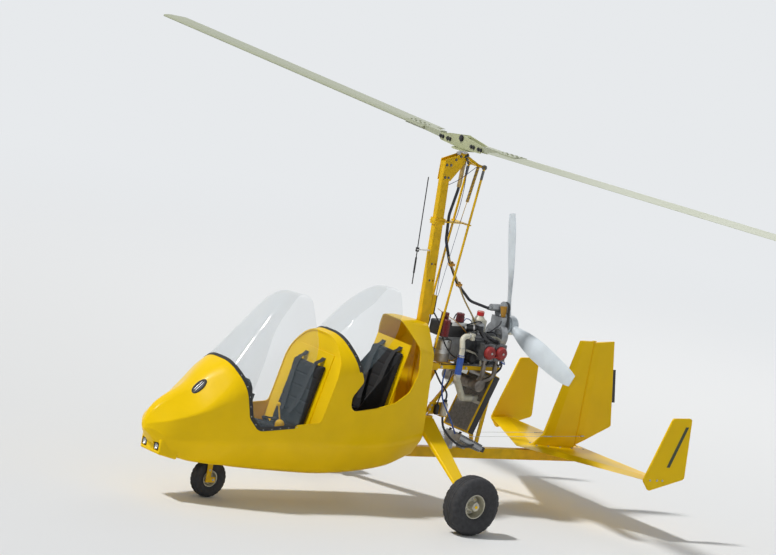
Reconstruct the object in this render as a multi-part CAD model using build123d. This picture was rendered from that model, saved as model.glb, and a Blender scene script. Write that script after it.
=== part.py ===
from build123d import *
import os
from math import hypot

# Two-seat tandem gyrocopter with a pusher engine, parked on its three wheels.
# Stations are millimetres: x forward of the main axle, y to port, z above the ground.
# Every piece is written about the middle of the airframe's length, so the origin
# lies on the ground under the centre of the whole machine.

# Overall sizes
NOSE_X = 2432.0
TAIL_X = -2049.0
TRACK = 1830.0
ROTOR_RADIUS = 4115.0
MID_X = (NOSE_X + TAIL_X) / 2

# Running clearances
FIT = 0.05
SEAT = 0.3

# Fuselage moulding
SKIN = 9.0
COAMING_X = 1835.0
HUMP_X = 880.0
HULL_BACK = 30.0

# Keel tube
KEEL_W = 50.0
KEEL_H = 80.0
KEEL_Z = 356.0
KEEL_BACK = -1816.0
KEEL_FRONT = 1500.0

# Mast
MAST_W = 50.0
MAST_FOOT_DEPTH = 108.0
MAST_HEAD_DEPTH = 68.0
MAST_FOOT_X = -24.0
MAST_HEAD_X = 85.0
MAST_TOP = 2625.0

# Main wheels
MAIN_R = 222.5
MAIN_WIDTH = 170.0
MAIN_RIM_R = 91.0
MAIN_AXLE_R = 12.5

# Nose wheel
NOSE_WHEEL_X = 1757.0
NOSE_R = 142.0
NOSE_WIDTH = 88.0
NOSE_RIM_R = 62.0
NOSE_AXLE_R = 8.0
STEER_X = 1800.0

# Rotor
HEAD_X = -55.0
HUB_Z = 2770.0
SPINDLE_R = 12.0
ROTOR_AZIMUTH = -2.0
CONING = 2.1
BLADE_CHORD = 220.0
BLADE_THICK = 27.0
BLADE_ROOT = 470.0

# Propeller and engine
PROP_X = -830.0
PROP_Z = 1400.0
PROP_R = 850.0
PROP_PHASE = -14.0
SHAFT_R = 15.0
CRANK_Z = 1235.0
CYL_PITCH = 112.0

# Tail
STAB_HALF = 925.0
HINGE_X = -1722.0
HINGE_R = 7.0

NODES = {}


def put(name, shape):
    NODES[name] = shape.moved(Location((-MID_X, 0, 0)))


def box(x0, x1, y0, y1, z0, z1):
    size = (abs(x1 - x0), abs(y1 - y0), abs(z1 - z0))
    centre = ((x0 + x1) / 2, (y0 + y1) / 2, (z0 + z1) / 2)
    return Pos(*centre) * Box(*size)


def rod(a, b, radius):
    a = Vector(*a)
    b = Vector(*b)
    run = b - a
    plane = Plane(origin=a, z_dir=run)
    return extrude(plane * Circle(radius), run.length)


def bar(a, b, width, height, up=(0, 0, 1)):
    a = Vector(*a)
    b = Vector(*b)
    run = b - a
    side = Vector(*up).cross(run).normalized()
    plane = Plane(origin=a, x_dir=side, z_dir=run)
    return extrude(plane * Rectangle(width, height), run.length)


def slab(points, y0, y1, radii=None):
    # side profile in x and z, drawn out across the machine from y0 to y1
    if radii:
        line = FilletPolyline(*points, radius=radii, close=True)
    else:
        line = Polyline(*points, close=True)
    face = make_face(Plane.XZ * line)
    return Pos(0, y1, 0) * extrude(face, y1 - y0, dir=(0, -1, 0))


def turned(points, centre):
    # profile of radius and width, turned about an axis that runs across the machine
    line = Polyline(*points, close=True)
    face = make_face(Plane.XY * line)
    return Pos(*centre) * revolve(face, Axis.Y)


def parallel(points, amount):
    # the line beside the given one, mitred at each corner
    other = []
    count = len(points)
    for i in range(count):
        here = points[i]
        normals = []
        for j in (i - 1, i):
            if j < 0 or j > count - 2:
                continue
            run = hypot(points[j + 1][0] - points[j][0], points[j + 1][1] - points[j][1])
            rise = (points[j + 1][1] - points[j][1]) / run
            ahead = (points[j + 1][0] - points[j][0]) / run
            normals.append((rise, -ahead))
        nx = sum(n[0] for n in normals)
        nz = sum(n[1] for n in normals)
        size = hypot(nx, nz)
        cosine = (nx * normals[0][0] + nz * normals[0][1]) / size
        other.append((here[0] + nx / size * amount / cosine, here[1] + nz / size * amount / cosine))
    return other


def thick(points, amount):
    # closed outline of a bent sheet
    return list(points) + parallel(points, amount)[::-1]


# Fuselage sections: station, floor, waist, shoulder, crown heights and their half widths,
# with the radii of the four corners. The hollow inside follows the same table.
COLUMNS = ("x", "zf", "zw", "zs", "zc", "yf", "yw", "ys", "yc", "rf", "rw", "rs", "rc")


def table(*rows):
    return [dict(zip(COLUMNS, row)) for row in rows]


HULL = table(
    (2426, 498, 520, 545, 566, 14, 24, 24, 12, 8, 8, 8, 8),
    (2385, 440, 500, 575, 645, 52, 92, 88, 28, 28, 40, 34, 24),
    (2290, 338, 470, 640, 738, 112, 166, 160, 40, 50, 80, 60, 36),
    (2100, 296, 470, 742, 866, 150, 246, 250, 60, 60, 120, 80, 60),
    (1835, 278, 480, 905, 1060, 182, 306, 320, 130, 70, 150, 90, 120),
    (1350, 252, 500, 1040, 1200, 200, 330, 336, 140, 80, 170, 100, 130),
    (820, 242, 500, 1130, 1308, 200, 330, 330, 150, 80, 170, 100, 130),
    (300, 300, 520, 1240, 1425, 180, 310, 290, 110, 80, 150, 100, 100),
    (30, 395, 560, 1190, 1398, 150, 262, 215, 80, 70, 120, 90, 70),
)


def hull_section(row, inset):
    plane = Plane(origin=(row["x"], 0, 0), x_dir=(0, 1, 0), z_dir=(1, 0, 0))
    right = [
        (row["yf"] - inset * 0.6, row["zf"] + inset),
        (row["yw"] - inset, row["zw"]),
        (row["ys"] - inset, row["zs"] - inset * 0.4),
        (row["yc"] - inset * 0.4, row["zc"] - inset),
    ]
    left = [(-y, z) for y, z in reversed(right)]
    radii = [row["rf"], row["rw"], row["rs"], row["rc"]]
    line = FilletPolyline(*(right + left), radius=radii + radii[::-1], close=True)
    return make_face(plane * line)


def between(rows):
    # one more section halfway along each bay, on a curve through its neighbours
    full = [rows[0]]
    for index in range(len(rows) - 1):
        near = rows[index]
        far = rows[index + 1]
        run = far["x"] - near["x"]
        middle = {}
        for key in near:
            slopes = []
            for at in (index, index + 1):
                low = rows[max(at - 1, 0)]
                high = rows[min(at + 1, len(rows) - 1)]
                slopes.append((high[key] - low[key]) / (high["x"] - low["x"]))
            middle[key] = (near[key] + far[key]) / 2 + (slopes[0] - slopes[1]) * run / 8
        full = full + [middle, far]
    return full


SECTIONS = between(HULL)


def hull_solid(inset, first):
    faces = [hull_section(row, inset) for row in SECTIONS[first:]]
    return loft(faces, ruled=True)


outer = hull_solid(0.0, 0)
inner = hull_solid(SKIN, 4)
inner = inner & box(HULL_BACK + SKIN, 3000, -500, 500, 0, 2000)

FRONT_OPENING = [
    (COAMING_X + 10, 1720), (COAMING_X, 1062), (1765, 890), (1705, 690), (1620, 606), (1290, 640),
    (1078, 664), (1050, 770), (998, 1000), (964, 1150), (946, 1330), (946, 1720),
]
FRONT_RADII = [5, 60, 260, 60, 60, 60, 40, 60, 160, 60, 20, 5]
REAR_OPENING = [
    (HUMP_X + 10, 1760), (HUMP_X, 1316), (765, 1045), (735, 985), (822, 870), (822, 752), (570, 786),
    (392, 830), (262, 910), (190, 1050), (205, 1230), (330, 1440), (330, 1760),
]
REAR_RADII = [5, 60, 120, 40, 60, 60, 60, 100, 100, 110, 160, 90, 5]
hull = outer - inner
hull = hull - slab(FRONT_OPENING, -500, 500, FRONT_RADII)
hull = hull - slab(REAR_OPENING, -500, 500, REAR_RADII)
# chin fairing with the two lamp recesses
chin = loft([
    Plane(origin=(2190, 0, 380), x_dir=(0, 1, 0), z_dir=(1, 0, 0)) * RectangleRounded(300, 150, 20),
    Plane(origin=(2335, 0, 385), x_dir=(0, 1, 0), z_dir=(1, 0, 0)) * RectangleRounded(236, 104, 14),
])
hull = hull + (chin - inner)
for side in (-1, 1):
    hull = hull - Pos(2335, side * 74, 388) * Box(44, 62, 62)
# wheel hole in the belly, round the steering axis
ARCH_R = 178.0
hull = hull - Pos(STEER_X - 10, 0, 300) * Cylinder(ARCH_R, 110)
# slots in the back wall for the keel and on top for the mast
hull = hull - box(-50, 330, -KEEL_W / 2 - SEAT, KEEL_W / 2 + SEAT, 250, KEEL_Z + KEEL_H + SEAT)


def mast_x(z):
    return MAST_FOOT_X + (MAST_HEAD_X - MAST_FOOT_X) * (z - KEEL_Z - KEEL_H) / (MAST_TOP - KEEL_Z - KEEL_H)


def mast_section(z, grow=0.0):
    share = (z - KEEL_Z - KEEL_H) / (MAST_TOP - KEEL_Z - KEEL_H)
    depth = MAST_FOOT_DEPTH + (MAST_HEAD_DEPTH - MAST_FOOT_DEPTH) * share
    plane = Plane(origin=(mast_x(z), 0, z))
    return plane * RectangleRounded(depth + 2 * grow, MAST_W + 2 * grow, 8)


mast_foot = KEEL_Z + KEEL_H
hull = hull - loft([mast_section(mast_foot + 0.5, 2.0), mast_section(1600, 2.0)])
put("fuselage_shell", hull)
for index, side in enumerate(("left", "right")):
    y = 74 if side == "left" else -74
    put("landing_lamp_" + side, Pos(2322, y, 388) * Rot(0, 90, 0) * Cylinder(24, 18))

# Cockpit tub: floor and the two seat mouldings, as one bent sheet that stands on the keel
TUB = 6.0
TUB_HALF = 205.0
KEEL_TOP = KEEL_Z + KEEL_H
FLOOR = [(2080, 560), (2000, 470), (1500, 470), (1440, 520), (1110, 480), (960, 1140), (905, 1140),
         (905, KEEL_TOP + SEAT), (800, KEEL_TOP + SEAT), (760, 620), (400, 590), (255, 1250)]
tub = slab(thick(FLOOR, TUB), -TUB_HALF, TUB_HALF)
put("cockpit_tub", tub)
# bulkhead behind the front seat: it closes the cockpit from side to side up to the hump
BULKHEAD = 8.0
wall = parallel([FLOOR[4], FLOOR[5]], -SEAT)
wall = [(wall[0][0] - 8, wall[0][1] + 40), wall[1], (937, 1340)]
bulkhead = (slab(thick(wall, -BULKHEAD), -400, 400) & inner) - tub
put("seat_bulkhead", bulkhead)


def along(a, b, length):
    run = hypot(b[0] - a[0], b[1] - a[1])
    return (a[0] + (b[0] - a[0]) * length / run, a[1] + (b[1] - a[1]) * length / run)


# Seat cushions: seat and back in one L-shaped pad that lies on its moulding
def cushion(corner, seat, back, width, depth):
    line = parallel(FLOOR, TUB + SEAT)
    base = line[corner]
    points = [along(base, line[corner - 1], seat), base, along(base, line[corner + 1], back)]
    return slab(thick(points, depth), -width / 2, width / 2)


put("front_seat_cushion", cushion(4, 310, 590, 380, 55))
put("rear_seat_cushion", cushion(10, 330, 600, 360, 55))

# Rubber trims along the cockpit edges, laid on the skin
TRIM = 22.0
TRIM_OUT = 3.5
cover = hull_solid(-TRIM_OUT, 4)
FRONT_BAND = [(COAMING_X + 12, 1720), (COAMING_X, 1062), (1765, 890), (1705, 690), (1620, 606), (1290, 640),
              (1290, 640 - TRIM), (1614, 606 - TRIM), (1725, 678), (1786, 884), (COAMING_X + TRIM, 1056),
              (COAMING_X + TRIM + 12, 1720)]
REAR_BAND = [(HUMP_X + 10, 1760), (HUMP_X, 1316), (765, 1045), (765 + TRIM, 1038), (HUMP_X + TRIM, 1306),
             (HUMP_X + TRIM + 10, 1760)]


def trim(outline):
    return (cover - outer) & slab(outline, -500, 500)


put("front_coaming_trim", trim(FRONT_BAND))
put("rear_coaming_trim", trim(REAR_BAND))

# Windscreens: blown bubbles, open at the back
SCREEN = 4.0
SCREENS = {
    "front_windscreen": table(
        (1835, 300, 560, 900, 1052, 316, 316, 308, 122, 6, 60, 90, 110),
        (1640, 300, 600, 1080, 1300, 318, 318, 304, 108, 6, 60, 110, 100),
        (1400, 300, 600, 1270, 1555, 318, 318, 280, 80, 6, 60, 150, 76),
        (1140, 300, 600, 1230, 1545, 318, 318, 272, 76, 6, 60, 150, 72),
    ),
    "rear_windscreen": table(
        (880, 800, 960, 1120, 1302, 318, 318, 310, 138, 6, 40, 90, 120),
        (700, 800, 960, 1200, 1520, 318, 318, 290, 110, 6, 40, 120, 100),
        (500, 800, 960, 1330, 1645, 316, 316, 262, 80, 6, 40, 140, 76),
        (300, 800, 960, 1340, 1630, 314, 314, 258, 76, 6, 40, 140, 72),
    ),
}
FRONT_GLASS = [
    (COAMING_X - 2, 1060), (1763, 890), (1703, 690), (1618, 608), (1262, 648), (1205, 960), (1175, 1240),
    (1160, 1700), (COAMING_X - 2, 1700),
]
REAR_GLASS = [
    (HUMP_X - 2, 1312), (763, 1045), (742, 1030), (600, 1170), (470, 1320), (370, 1480), (330, 1700),
    (HUMP_X - 2, 1700),
]


def screen(rows, outline):
    shell = loft([hull_section(row, 0.0) for row in rows], ruled=True)
    shell = shell - loft([hull_section(row, SCREEN) for row in rows], ruled=True)
    return shell & slab(outline, -500, 500)


front_screen = screen(SCREENS["front_windscreen"], FRONT_GLASS) - hull
put("front_windscreen", front_screen)
put("rear_windscreen", screen(SCREENS["rear_windscreen"], REAR_GLASS) - hull)

# Instrument panel under the front coaming
panel = slab([(1772, 960), (1760, 960), (1715, 720), (1727, 720)], -400, 400)
put("instrument_panel", (panel & inner) - front_screen)
FLOOR_TOP = FLOOR[2][1] + TUB + SEAT
stick = Pos(1565, 0, FLOOR_TOP + 12) * Cylinder(26, 24)
stick = stick + rod((1565, 0, FLOOR_TOP + 20), (1500, 0, 745), 11)
stick = stick + rod((1511, 0, 700), (1490, 0, 790), 17)
put("control_stick", stick)
throttle = Pos(1400, 262, 600) * Cylinder(34, 60) + Pos(1400, 262, 630) * Sphere(34) \
    + rod((1400, 262, 640), (1440, 262, 770), 6) + Pos(1442, 262, 778) * Sphere(16)
throttle = throttle + box(1370, 1430, 262, 340, 575, 600)
put("throttle_quadrant", throttle & inner)
pedals = rod((1960, -190, 500), (1960, 190, 500), 9)
for y in (-150, -70, 70, 150):
    pedals = pedals + bar((1960, y, 500), (1990, y, 640), 60, 8)
for y in (-110, 110):
    pedals = pedals + box(1945, 1975, y - 12, y + 12, FLOOR_TOP, 503)
put("rudder_pedals", pedals)

# Keel
keel = box(KEEL_BACK, KEEL_FRONT, -KEEL_W / 2, KEEL_W / 2, KEEL_Z, KEEL_Z + KEEL_H)
keel = keel + bar((KEEL_FRONT - 20, 0, KEEL_Z + 40), (1790, 0, KEEL_Z + 60), KEEL_W, 50)
STEM_R = 18.0
STEM_TOP = 462.0
head_tube = Pos(STEER_X, 0, 400) * Cylinder(30, 124) - Pos(STEER_X, 0, 400) * Cylinder(STEM_R + FIT, 300)
keel = keel - Pos(STEER_X, 0, 400) * Cylinder(25, 300)
put("keel_boom", keel + head_tube)

# Mast with its head plates
mast = loft([mast_section(mast_foot), mast_section(MAST_TOP)])
for side in (-1, 1):
    y0 = side * (MAST_W / 2)
    y1 = side * (MAST_W / 2 + 5)
    cheek = slab([(118, 2480), (118, 2640), (-30, 2690), (-85, 2690), (-85, 2640), (40, 2480)],
                 min(y0, y1), max(y0, y1))
    mast = mast + cheek
for z in (1842, 1716):
    mast = mast - Pos(mast_x(z) - 20, 0, z) * Rot(90, 0, 0) * Cylinder(9, 200)


def mast_rear(z):
    share = (z - mast_foot) / (MAST_TOP - mast_foot)
    return mast_x(z) - (MAST_FOOT_DEPTH + (MAST_HEAD_DEPTH - MAST_FOOT_DEPTH) * share) / 2


def mast_front(z):
    return 2 * mast_x(z) - mast_rear(z)


# guide plate for the rods and the flexible shaft, and the switch box, on the back of the mast
GUIDE_Z = 2168.0
guide = box(mast_rear(GUIDE_Z) - 204, mast_front(GUIDE_Z) + 8, -40, 40, GUIDE_Z - 4, GUIDE_Z + 4)
guide = guide + box(mast_rear(GUIDE_Z) - 204, mast_rear(GUIDE_Z) - 174, -106, 106, GUIDE_Z - 4, GUIDE_Z + 4)
GUIDE_Y = MAST_W / 2 + 6
guide = guide + box(mast_rear(GUIDE_Z) - 8, mast_front(GUIDE_Z) + 8, -GUIDE_Y, GUIDE_Y,
                    GUIDE_Z - 24, GUIDE_Z + 24)
switch_box = box(mast_rear(1530) - 34, mast_rear(1530), -22, 22, 1455, 1605) - mast
mast = mast + switch_box
antenna = rod((192, 0, 1676), (229, 0, 2494), 4) + rod((196, 0, 1760), (201, 0, 1880), 7)
antenna = antenna + box(mast_front(1945) - 4, 214, -14, 14, 1939, 1945)
antenna = antenna + Pos(204, 0, 1942) * Cylinder(13, 22)
put("whip_antenna", antenna - mast)

# Engine bearers: two rails from a clamp on the mast, braced to the keel
RAIL_Y = 130.0
RAIL_Z = 1085.0
RAIL = 30.0
rails = box(-92, HULL_BACK - 2, -RAIL_Y - 15, RAIL_Y + 15, RAIL_Z - 25, RAIL_Z + 25)
for side in (-1, 1):
    y = side * RAIL_Y
    rails = rails + box(-690, -80, y - RAIL / 2, y + RAIL / 2, RAIL_Z - RAIL / 2, RAIL_Z + RAIL / 2)
    rails = rails + bar((-665, y, RAIL_Z), (-700, side * 22, KEEL_TOP - 10), 24, 24)
    rails = rails + bar((-330, y, RAIL_Z), (-100, side * 60, 690), 22, 22)
put("engine_mount", rails - mast - keel)

# Engine: flat four with its crank along the machine, heads to each side, gearbox at the back
ENGINE_BASE = RAIL_Z + RAIL / 2 + SEAT
ENGINE_TOP = 1350.0
ENGINE_FRONT = -345.0
ENGINE_BACK = -690.0
BARREL_R = 50.0
FIN_R = 60.0
HEAD_Y = 196.0
HEAD_DEPTH = 62.0
COVER_R = 50.0
COVER_DEPTH = 36.0
faces = []
for x, waist, crest in ((ENGINE_FRONT, 112, 56), (ENGINE_BACK, 104, 64)):
    outline = FilletPolyline((-84, ENGINE_BASE), (84, ENGINE_BASE), (waist, 1190), (waist, 1290),
                             (crest, ENGINE_TOP), (-crest, ENGINE_TOP), (-waist, 1290), (-waist, 1190),
                             radius=14, close=True)
    faces.append(Plane(origin=(x, 0, 0), x_dir=(0, 1, 0), z_dir=(1, 0, 0)) * make_face(outline))
case = loft(faces, ruled=True)
engine = case + box(ENGINE_BACK, ENGINE_FRONT, -RAIL_Y - 12, RAIL_Y + 12, ENGINE_BASE, ENGINE_BASE + 18)
covers = {}
for side, word in ((1, "left"), (-1, "right")):
    covers[word] = None
    for index in range(2):
        x = -460 - index * CYL_PITCH
        barrel = Rot(90, 0, 0) * Cylinder(BARREL_R, HEAD_Y - 90)
        engine = engine + Pos(x, side * (HEAD_Y + 90) / 2, CRANK_Z) * barrel
        for fin in range(5):
            disc = Rot(90, 0, 0) * Cylinder(FIN_R - 6, 4)
            engine = engine + Pos(x, side * (124 + fin * 15), CRANK_Z) * disc
        at = Pos(x, side * (HEAD_Y + HEAD_DEPTH / 2), CRANK_Z)
        engine = engine + at * Box(CYL_PITCH - 8, HEAD_DEPTH, 126)
        for z in (-44, -22, 0, 22, 44):
            engine = engine + at * Pos(0, 0, z) * Box(CYL_PITCH - 2, HEAD_DEPTH - 8, 5)
        profile = [(0, 0), (COVER_R, 0), (COVER_R, COVER_DEPTH * 0.45), (COVER_R * 0.82, COVER_DEPTH * 0.85),
                   (COVER_R * 0.45, COVER_DEPTH), (0, COVER_DEPTH)]
        dome = revolve(make_face(Plane.XY * Polyline(*profile, close=True)), Axis.Y)
        dome = Pos(x, side * (HEAD_Y + HEAD_DEPTH), CRANK_Z) * Rot(0, 0, 0 if side > 0 else 180) * dome
        covers[word] = dome if covers[word] is None else covers[word] + dome
    tube_y = side * (HEAD_Y + HEAD_DEPTH + 11)
    tube = rod((-460, tube_y, CRANK_Z - 30), (-460 - CYL_PITCH, tube_y, CRANK_Z - 30), 6)
    covers[word] = covers[word] + tube
put("engine_block", engine)
put("rocker_covers_left", covers["left"] - engine)
put("rocker_covers_right", covers["right"] - engine)

# gearbox with the propeller shaft, and the prerotator drive on top of it
gearbox = Pos(ENGINE_BACK - 30, 0, 1320) * Rot(0, 90, 0) * Cylinder(104, 60)
gearbox = gearbox + Pos(ENGINE_BACK - 66, 0, PROP_Z) * Rot(0, 90, 0) * Cylinder(66, 32)
gearbox = gearbox + box(ENGINE_BACK - 50, ENGINE_BACK, -60, 60, PROP_Z - 40, PROP_Z + 66)
gearbox = gearbox + Pos(-800, 0, PROP_Z) * Rot(0, 90, 0) * Cylinder(SHAFT_R, 84)
gearbox = gearbox - case
put("reduction_gearbox", gearbox)
PRE_Z = 1532.0
PRE_R = 27.0
prerotator = Pos(-690, 0, PRE_Z) * Rot(0, 90, 0) * Cylinder(PRE_R, 150)
prerotator = prerotator + Pos(-752, 0, PRE_Z) * Rot(0, 90, 0) * Cylinder(PRE_R + 14, 26)
prerotator = prerotator + Pos(-604, 0, PRE_Z - 8) * Rot(0, 90, 0) * Cylinder(15, 30)
for y in (-34, 34):
    outline = [(-742, PROP_Z + 66.3), (-700, PROP_Z + 66.3), (-672, PRE_Z + 20), (-742, PRE_Z + 20)]
    plate = slab(outline, y - 3, y + 3)
    prerotator = prerotator + plate + box(-742, -680, min(0, y), max(0, y), PRE_Z - 10, PRE_Z + 10)
put("prerotator_drive", prerotator - gearbox)

# intake: airbox between two carburettors, with two pressure domes above it
airbox = box(-330, -108, -76, 76, 1300, 1412)
airbox = fillet(airbox.edges(), 16)
airbox = airbox + box(-344.7, -320, -50, 50, 1306, 1346)
for side in (-1, 1):
    airbox = airbox + rod((-322, side * 52, 1376), (-436, side * 118, 1392), 24)
    airbox = airbox + rod((-440, side * 122, 1392), (-440, side * 150, 1362), 20)
    airbox = airbox + Pos(-440, side * 122, 1392) * Sphere(34)
    airbox = airbox + rod((-440, side * 150, 1366), (-460, side * 226, CRANK_Z + 62.5), 15)
    airbox = airbox + rod((-440, side * 150, 1366), (-572, side * 226, CRANK_Z + 62.5), 15)
for x in (-150, -300):
    airbox = airbox + Pos(x, 40, 1432) * Cylinder(23, 44) + Pos(x, 40, 1456) * Cylinder(28, 12)
    airbox = airbox + Pos(x, 40, 1462) * Sphere(20)
airbox = airbox - engine
put("airbox", airbox)
bottle = loft([
    Plane(origin=(-500, 30, ENGINE_TOP + SEAT)) * RectangleRounded(92, 92, 20),
    Plane(origin=(-500, 30, 1440)) * RectangleRounded(96, 96, 24),
], ruled=True)
neck = [Plane(origin=(-500, 30, 1440)) * Circle(46), Plane(origin=(-500, 30, 1470)) * Circle(24)]
bottle = bottle + loft(neck)
bottle = bottle + Pos(-500, 30, 1487) * Cylinder(27, 34)
put("coolant_bottle", bottle - airbox)

# muffler across the machine below the engine, with four pipes up to the heads
MUFFLER_X = -470.0
MUFFLER_Z = 965.0
MUFFLER_R = 46.0
muffler = Pos(MUFFLER_X, 10, MUFFLER_Z) * Rot(90, 0, 0) * Cylinder(MUFFLER_R, 400)
for side in (-1, 1):
    for index in range(2):
        x = -460 - index * CYL_PITCH
        route = FilletPolyline((x, side * 226, CRANK_Z - 60), (x, side * 226, 1040),
                               (MUFFLER_X, side * 150, MUFFLER_Z), radius=60)
        section = Plane(origin=(x, side * 226, CRANK_Z - 60), z_dir=(0, 0, -1)) * Circle(17)
        muffler = muffler + sweep(section, path=route)
muffler = muffler + rod((MUFFLER_X, -150, MUFFLER_Z), (MUFFLER_X - 130, -190, MUFFLER_Z - 90), 20)
put("exhaust_muffler", muffler - engine - rails)

# coolant pipe down the port side with its hose, between the engine top and the radiator
pipe = sweep(Plane(origin=(-345, 150, 1330), z_dir=(1, 0, 0)) * Circle(21),
             path=FilletPolyline((-345, 150, 1330), (-262, 150, 1330), (-262, 180, 1230), (-262, 180, 1190),
                                 radius=46))
pipe = pipe + Pos(-352, 150, 1330) * Box(24, 60, 50) + box(-364, -345, 100, 150, 1312, 1348)
put("coolant_pipe", pipe - engine - airbox)
hose = sweep(Plane(origin=(-262, 180, 1189.7), z_dir=(0, 0, -1)) * Circle(26),
             path=FilletPolyline((-262, 180, 1189.7), (-262, 180, 1000), (-390, 130, 850), (-545, 130, 850),
                                 radius=60))

# radiator: core in a frame, leaning back below the engine, and the finned oil cooler below it
RAD_TILT = 20.0
RAD_W = 270.0
RAD_L = 460.0
RAD_T = 44.0
RAD_AT = Pos(-535, 70, 820) * Rot(0, -RAD_TILT, 0)
frame_box = Box(RAD_T + 12, RAD_W + 24, RAD_L + 24) - Box(RAD_T + 40, RAD_W, RAD_L)
core = Box(RAD_T, RAD_W - 2 * SEAT, RAD_L - 2 * SEAT)
for index in range(9):
    core = core - Pos(RAD_T / 2, 0, -RAD_L / 2 + 44 + index * 44) * Box(8, RAD_W - 30, 10)
stays = rod((-608, 206, 1024), (-640, RAIL_Y + 4, RAIL_Z), 8)
stays = stays + rod((-608, -68, 1024), (-640, -RAIL_Y, RAIL_Z), 8)
put("radiator", RAD_AT * core)
put("radiator_frame", (RAD_AT * frame_box + stays) - rails - RAD_AT * core)
put("coolant_hose", hose - RAD_AT * core - RAD_AT * frame_box)
COOLER_AT = Pos(-505, 100, 515) * Rot(0, -20, 0)
cooler = Box(250, 200, 26)
for index in range(13):
    cooler = cooler + Pos(-114 + index * 19, 0, 0) * Box(6, 192, 58)
cooler = COOLER_AT * cooler
cooler = cooler + box(-575, -545, -15, 60, KEEL_TOP, 490) + box(-445, -415, -15, 60, KEEL_TOP, 540)
put("oil_cooler", cooler - keel)

# Control rods, torque arm and trim spring
ROD_Y = 92.0
ARM_X = -212.0
ARM_Z = 2612.0
rods = bar((HEAD_X - 34, 0, 2672), (ARM_X, 0, ARM_Z), 36, 22)
rods = rods + rod((ARM_X, -ROD_Y - 14, ARM_Z), (ARM_X, ROD_Y + 14, ARM_Z), 11)
for side in (-1, 1):
    rods = rods + rod((ARM_X, side * ROD_Y, ARM_Z), (-56, side * ROD_Y, 1122), 9)
rods = rods + rod((-56, -ROD_Y - 12, 1120.3), (-56, ROD_Y + 12, 1120.3), 10)
spring = rod((ARM_X + 8, 30, ARM_Z - 4), (-160, 30, 2330), 11)
spring = spring + rod((-160, 30, 2336), (-130, 30, GUIDE_Z), 2.5)

# Rotor head: gimbal block and spindle
head = Pos(HEAD_X, 0, 2672) * Box(76, MAST_W - 2 * SEAT, 56) + Pos(HEAD_X, 0, 2705) * Cylinder(34, 20)
head = head + Pos(HEAD_X, 0, 2740) * Cylinder(SPINDLE_R, 90)
for z in (2655, 2684):
    head = head + rod((HEAD_X - 22, -MAST_W / 2 - 13, z), (HEAD_X - 22, MAST_W / 2 + 13, z), 7)
head = head + Pos(HEAD_X - 25, 0, 2706) * Cylinder(16, 16) + rod((-82, 0, 2500), (-80, 0, 2650), 14)
rods = (rods + spring) - head - mast
put("rotor_head", head)
put("control_rods", rods)

# flexible shaft from the drive on the gearbox up the back of the mast into the head
FLEX_R = 11.0
FLEX = [(-586, 1524.7), (-398, 1571), (-238, 1703), (-119, 1876), (-53, 2027), (-36, 2218), (-76, 2413),
        (-82, 2498.8)]
FLEX_TURN = 160.0


def flexible(radius):
    path = FilletPolyline(*[(x, 0, z) for x, z in FLEX], radius=FLEX_TURN)
    run = Vector(FLEX[1][0] - FLEX[0][0], 0, FLEX[1][1] - FLEX[0][1])
    return sweep(Plane(origin=(FLEX[0][0], 0, FLEX[0][1]), z_dir=run) * Circle(radius), path=path)


flex = flexible(FLEX_R)
put("prerotator_shaft", flex)
mast = (mast + guide) - head - rods - flexible(FLEX_R + SEAT)
put("mast", mast)


# Rotor: hub bar with kite cheeks, two straps and blades, coned upwards
def around_head(shape):
    return Pos(HEAD_X, 0, HUB_Z) * Rot(0, 0, ROTOR_AZIMUTH) * shape


hub = Box(60, 150, 40)
for side in (-1, 1):
    face = Plane.YZ * make_face(Polyline((-275, 4), (-250, 28), (0, 62), (250, 28), (275, 4), (250, -28),
                                         (0, -42), (-250, -28), close=True))
    hub = hub + Pos(side * 34 - 4, 0, 0) * extrude(face, 8, dir=(1, 0, 0))
# through bolts with their heads and nuts, and the teeter bolt on a boss
for y in (-255, -225, -165, -135, 135, 165, 225, 255):
    hub = hub + Pos(0, y, 0) * Rot(0, 90, 0) * Cylinder(6, 92)
    for side in (-1, 1):
        hub = hub + Pos(side * 41, y, 0) * Rot(0, 90, 0) * extrude(RegularPolygon(11, 6), 6, both=True)
hub = hub + Pos(0, 0, 36) * Rot(0, 90, 0) * Cylinder(13, 96) + Pos(0, 0, 30) * Box(60, 52, 40)
for side in (-1, 1):
    hub = hub + Pos(side * 42, 0, 36) * Rot(0, 90, 0) * extrude(RegularPolygon(20, 6), 8, both=True)
# drive ring of the prerotator below the hub bar
ring = Pos(0, 0, -46) * Cylinder(92, 6) + Pos(0, 0, -32) * Cylinder(25, 26)
for index in range(6):
    ring = ring - Rot(0, 0, 60 * index) * Pos(60, 0, -46) * Cylinder(14, 20)
hub = hub + ring
hub = hub - Pos(0, 0, -22) * Cylinder(SPINDLE_R + FIT, 84)
put("rotor_hub", around_head(hub))


def blade_profile(chord, thickness):
    # nose radius and a straight taper to a thin trailing edge, chord along x
    nose = chord * 0.27
    tail = chord - nose
    half = thickness / 2
    with BuildLine(Plane.XZ) as line:
        Spline((0, half), (nose * 0.65, half * 0.82), (nose, 0), tangents=((1, 0), (0, -1)))
        Spline((nose, 0), (nose * 0.65, -half * 0.5), (0, -half * 0.55), tangents=((0, -1), (-1, 0)))
        Line((0, -half * 0.55), (-tail, -1.0))
        Line((-tail, -1.0), (-tail, 1.0))
        Line((-tail, 1.0), (0, half))
    return make_face(line.line)


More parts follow.
